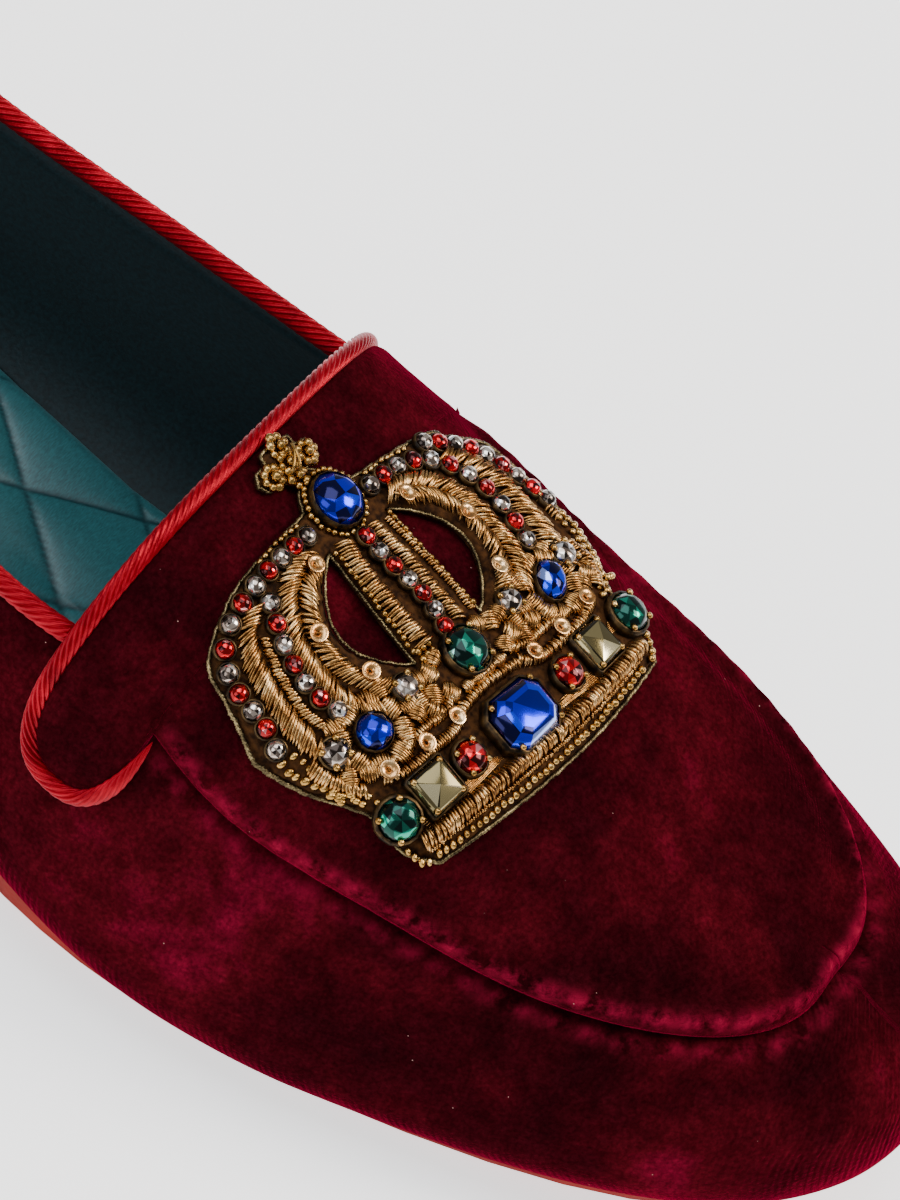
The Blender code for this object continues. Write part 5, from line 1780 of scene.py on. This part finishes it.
# %% Glass and settings
def glass_material(name):
    """Foil-backed glass: the foil mirrors light in the glass's colour, under a polished face; each facet's
    colour is painted light.
    """
    material, tree, shader = new_material(name, Roughness=0.16, Metallic=0.85, Specular_IOR_Level=0.4,
                                          Coat_Weight=0.25, Coat_Roughness=0.02)
    tone = add_node(tree, 'ShaderNodeAttribute', {"attribute_name": "painted_facet_light"})
    tree.links.new(tone.outputs["Color"], shader.inputs["Base Color"])
    return material


# Five tones for each glass, from painted shade in the deepest to painted glints in the brightest.
GLASS = {
    "blue": ("glass_cut_blue", "glass_blue", ("#00003c", "#000c8c", "#0414d8", "#1440ff", "#9db4ff")),
    "green": ("glass_cut_green", "glass_green", ("#001c18", "#003a30", "#04604e", "#1a9c80", "#a8f0dc")),
    "red": ("glass_cut_red", "glass_red", ("#380002", "#8a0006", "#cc0410", "#ff1a28", "#ffa0a0")),
    "clear": ("glass_cut_clear", "glass_smoke", ("#2c221c", "#7a6a5e", "#b5a698", "#f0e8de", "#ffffff")),
    "smoke": ("glass_cut_smoke", "glass_smoke", ("#2c2614", "#6a5f3c", "#9a8c60", "#d8cca0", "#fffae6")),
}
SEAT = PATCH_TOP + 0.35
FACET_LIGHT_ODDS = np.array((0.30, 0.28, 0.22, 0.14, 0.06))
CLAW_LEVEL = 0.62
CLAW_REACH = {"round": 0.98, "cornered": 1.12}
CLAW_SIZE = (0.55, 0.55, 0.5)
dice = np.random.default_rng(9)
stone_parts = {kind: [] for kind in GLASS}
setting_parts, claw_parts = [], []

# %% Place a rigid form
def place_rigid(points, u, v, base, turn=0.0):
    """Unit frame at a flat place: along u, across it and out of the crown."""
    seat, ahead = on_crown([(u, v, base), (u + 0.5, v, base)])
    out = on_crown([(u, v, base + 1.0)])[0] - seat
    out /= np.linalg.norm(out)
    first = ahead - seat
    first -= out * np.dot(first, out)
    first /= np.linalg.norm(first)
    second = np.cross(out, first)
    x = points[:, 0] * math.cos(turn) - points[:, 1] * math.sin(turn)
    y = points[:, 0] * math.sin(turn) + points[:, 1] * math.cos(turn)
    return seat + x[:, None] * first + y[:, None] * second + points[:, 2:] * out


def set_stone(kind, cut, u, v, half_width, half_length, height, turn=0.0, claws=4, base=SEAT, cup=1.14):
    """One stone with a dark cup round its girdle and gilt claws over it."""
    unit, faces, tone = CUTS[cut]
    size = np.array((half_width, half_length, height))
    # Each facet's colour is a painted tone of light and shade, drawn from its glass's five tones.
    facet_light_palette = np.array([linear(code) for code in GLASS[kind][2]])
    picks = dice.choice(len(facet_light_palette), tone.max() + 1, p=FACET_LIGHT_ODDS)
    stone_parts[kind].append((place_rigid(unit * size, u, v, base, turn), faces, facet_light_palette[picks][tone]))
    outline = {"octagon": OCTAGON, "square": SQUARE}.get(cut, circle_ring(16, 1.0, 0.0)[:, :2])
    rim = [np.column_stack([outline * share, np.full(len(outline), level)])
           for share, level in ((1.02, 0.42), (cup, 0.40), (cup + 0.06, 0.0), (cup - 0.04, -0.25))]
    rim = place_rigid(np.concatenate(rim) * size, u, v, base, turn)
    setting_parts.append((rim, grid_faces(4, len(outline), wrap=True, flip=True)))
    if claws:
        angle = (np.arange(claws) + 0.5) * 2 * math.pi / claws
        spots = np.column_stack([np.cos(angle), np.sin(angle), np.full(claws, CLAW_LEVEL)]) * size
        reach = CLAW_REACH["round" if cut == "round" else "cornered"]
        ball, cells = bead_grains(np.zeros((1, 3)), np.ones(1))
        for spot in spots:
            grain = ball[0] * CLAW_SIZE + spot * (reach, reach, 1)
            claw_parts.append((place_rigid(grain, u, v, base, turn), cells))


# %% Large stones
set_stone("blue", "octagon", 0.0, 0.0, 5.8, 4.3, 3.2, claws=4, cup=1.08)
set_stone("blue", "round", 0.0, ORB_ALONG, 4.1, 4.1, 3.0, claws=0, cup=1.05)
set_stone("green", "round", 0.0, 11.4, 3.6, 3.6, 2.8, claws=4, cup=1.1)
for side in (-1, 1):
    set_stone("red", "round", side * 11.6, 0.4, 2.5, 2.5, 2.3, claws=4)
    set_stone("smoke", "square", side * 19.0, 0.9, 3.2, 3.2, 2.3, turn=side * 0.06, claws=4, cup=1.08)
    set_stone("green", "round", side * 27.0, 1.5, 3.1, 3.1, 2.6, claws=4)
    long, short, turn = (3.3, 2.5, -0.75) if side > 0 else (2.7, 2.8, 0.0)
    set_stone("blue", "round", side * 20.3, 11.6, short, long, 2.4, turn=turn, claws=0, cup=1.06)
    set_stone("clear", "round", side * 25.7, 13.3, 2.1, 2.1, 1.9, claws=4)
    set_stone("clear", "round", side * 12.2, 12.9, 2.0, 2.0, 1.9, claws=4)

# %% [markdown]
# ## Crystal rows
#
# Small clear and red crystals alternate along the arches and down the middle bar.

# %% Crystal rows
# Rows of crystals: how many, the first colour, how high they sit, and the knots of their curve.
CRYSTALS = (
    (13, "clear", 0.3, ((-8.2, 37.0), (-15.8, 36.8), (-21.8, 35.9), (-26.2, 34.0), (-28.2, 30.6),
                        (-28.5, 26.0), (-28.3, 22.0), (-28.9, 19.2))),
    (7, "clear", 0.3, ((-19.3, 33.2), (-21.2, 28.2), (-22.0, 22.6), (-21.4, 16.8))),
    (11, "clear", 0.3, ((6.9, 37.2), (13.4, 36.9), (19.2, 34.6), (22.6, 29.8), (23.6, 24.4), (22.5, 18.0))),
    (9, "clear", 0.3, ((20.0, 37.4), (24.5, 34.6), (27.9, 31.2), (30.0, 26.2), (31.8, 21.0))),
    (7, "red", 0.6, ((-0.2, 31.9), (0.0, 26.8), (0.7, 21.2), (-0.2, 15.7))),
)
for count, first, lift, knots in CRYSTALS:
    spots, _ = resample(curve_through(knots, 200), count)
    for number, (u, v) in enumerate(spots):
        other = "red" if first == "clear" else "clear"
        set_stone(other if number % 2 else first, "small", u, v, 1.42, 1.42, 1.5, turn=number, claws=0,
                  base=PATCH_TOP + lift, cup=1.16)

# %% [markdown]
# ## Stones into meshes
#
# All stones of one glass become one mesh, which takes the place of the plain solids. The painted light
# and shade tones are stored on the corners of the faces, where the glass reads them.

# %% Fill stones, settings and claws
REPLACED = {
    "blue": ("stone_centre", "stone_orb", "stone_blue_inner", "stone_blue_outer"),
    "green": ("stone_middle", "stone_green_inner", "stone_green_outer"),
    "red": ("stone_red_inner", "stone_red_outer"),
    "smoke": ("stone_square_inner", "stone_square_outer"),
}
for kind, (material_name, slot, _) in GLASS.items():
    parts = stone_parts[kind]
    points, faces = join([(p, f) for p, f, _ in parts])
    item = fill_mesh(f"stones_{kind}", points, faces, glass_material(material_name), shade=False)
    # Painted light and shade of each facet, repeated for its three corners.
    painted_facet_tones = np.repeat(np.concatenate([t for _, _, t in parts]), 3, axis=0)
    layer = item.data.color_attributes.new("painted_facet_light", 'FLOAT_COLOR', 'CORNER')
    layer.data.foreach_set("color", painted_facet_tones.astype(np.float32).ravel())
    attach(item, "root")
    if kind in REPLACED:
        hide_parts(*REPLACED[kind])
    print(item.name, len(item.data.polygons), "facets")


# %% Cups and claws
# Blackened brass: dark where the finish holds, brassy where it has worn off.
cup_metal, tree, shader = new_material("stone_cup_blackened_brass", Metallic=0.85, Roughness=0.42)
place = add_node(tree, 'ShaderNodeTexCoord')
wear_and_sheen = add_node(tree, 'ShaderNodeTexNoise', {"Scale": per_metre(1.4286), "Detail": 2.0},
                {"Vector": place.outputs["Object"]})
ramp = add_node(tree, 'ShaderNodeValToRGB', {}, {"Fac": wear_and_sheen.outputs["Fac"]})
set_ramp(ramp, ((0.35, "#17110b"), (0.7, "#5a4426")))
tree.links.new(ramp.outputs["Color"], shader.inputs["Base Color"])
settings = (("stone_cups", setting_parts, cup_metal), ("stone_claws", claw_parts, gilt_bead))
for name, parts, material in settings:
    points, faces = join(parts)
    item = fill_mesh(name, points, faces, material)
    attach(item, "root")
    print(name, len(item.data.polygons), "faces")
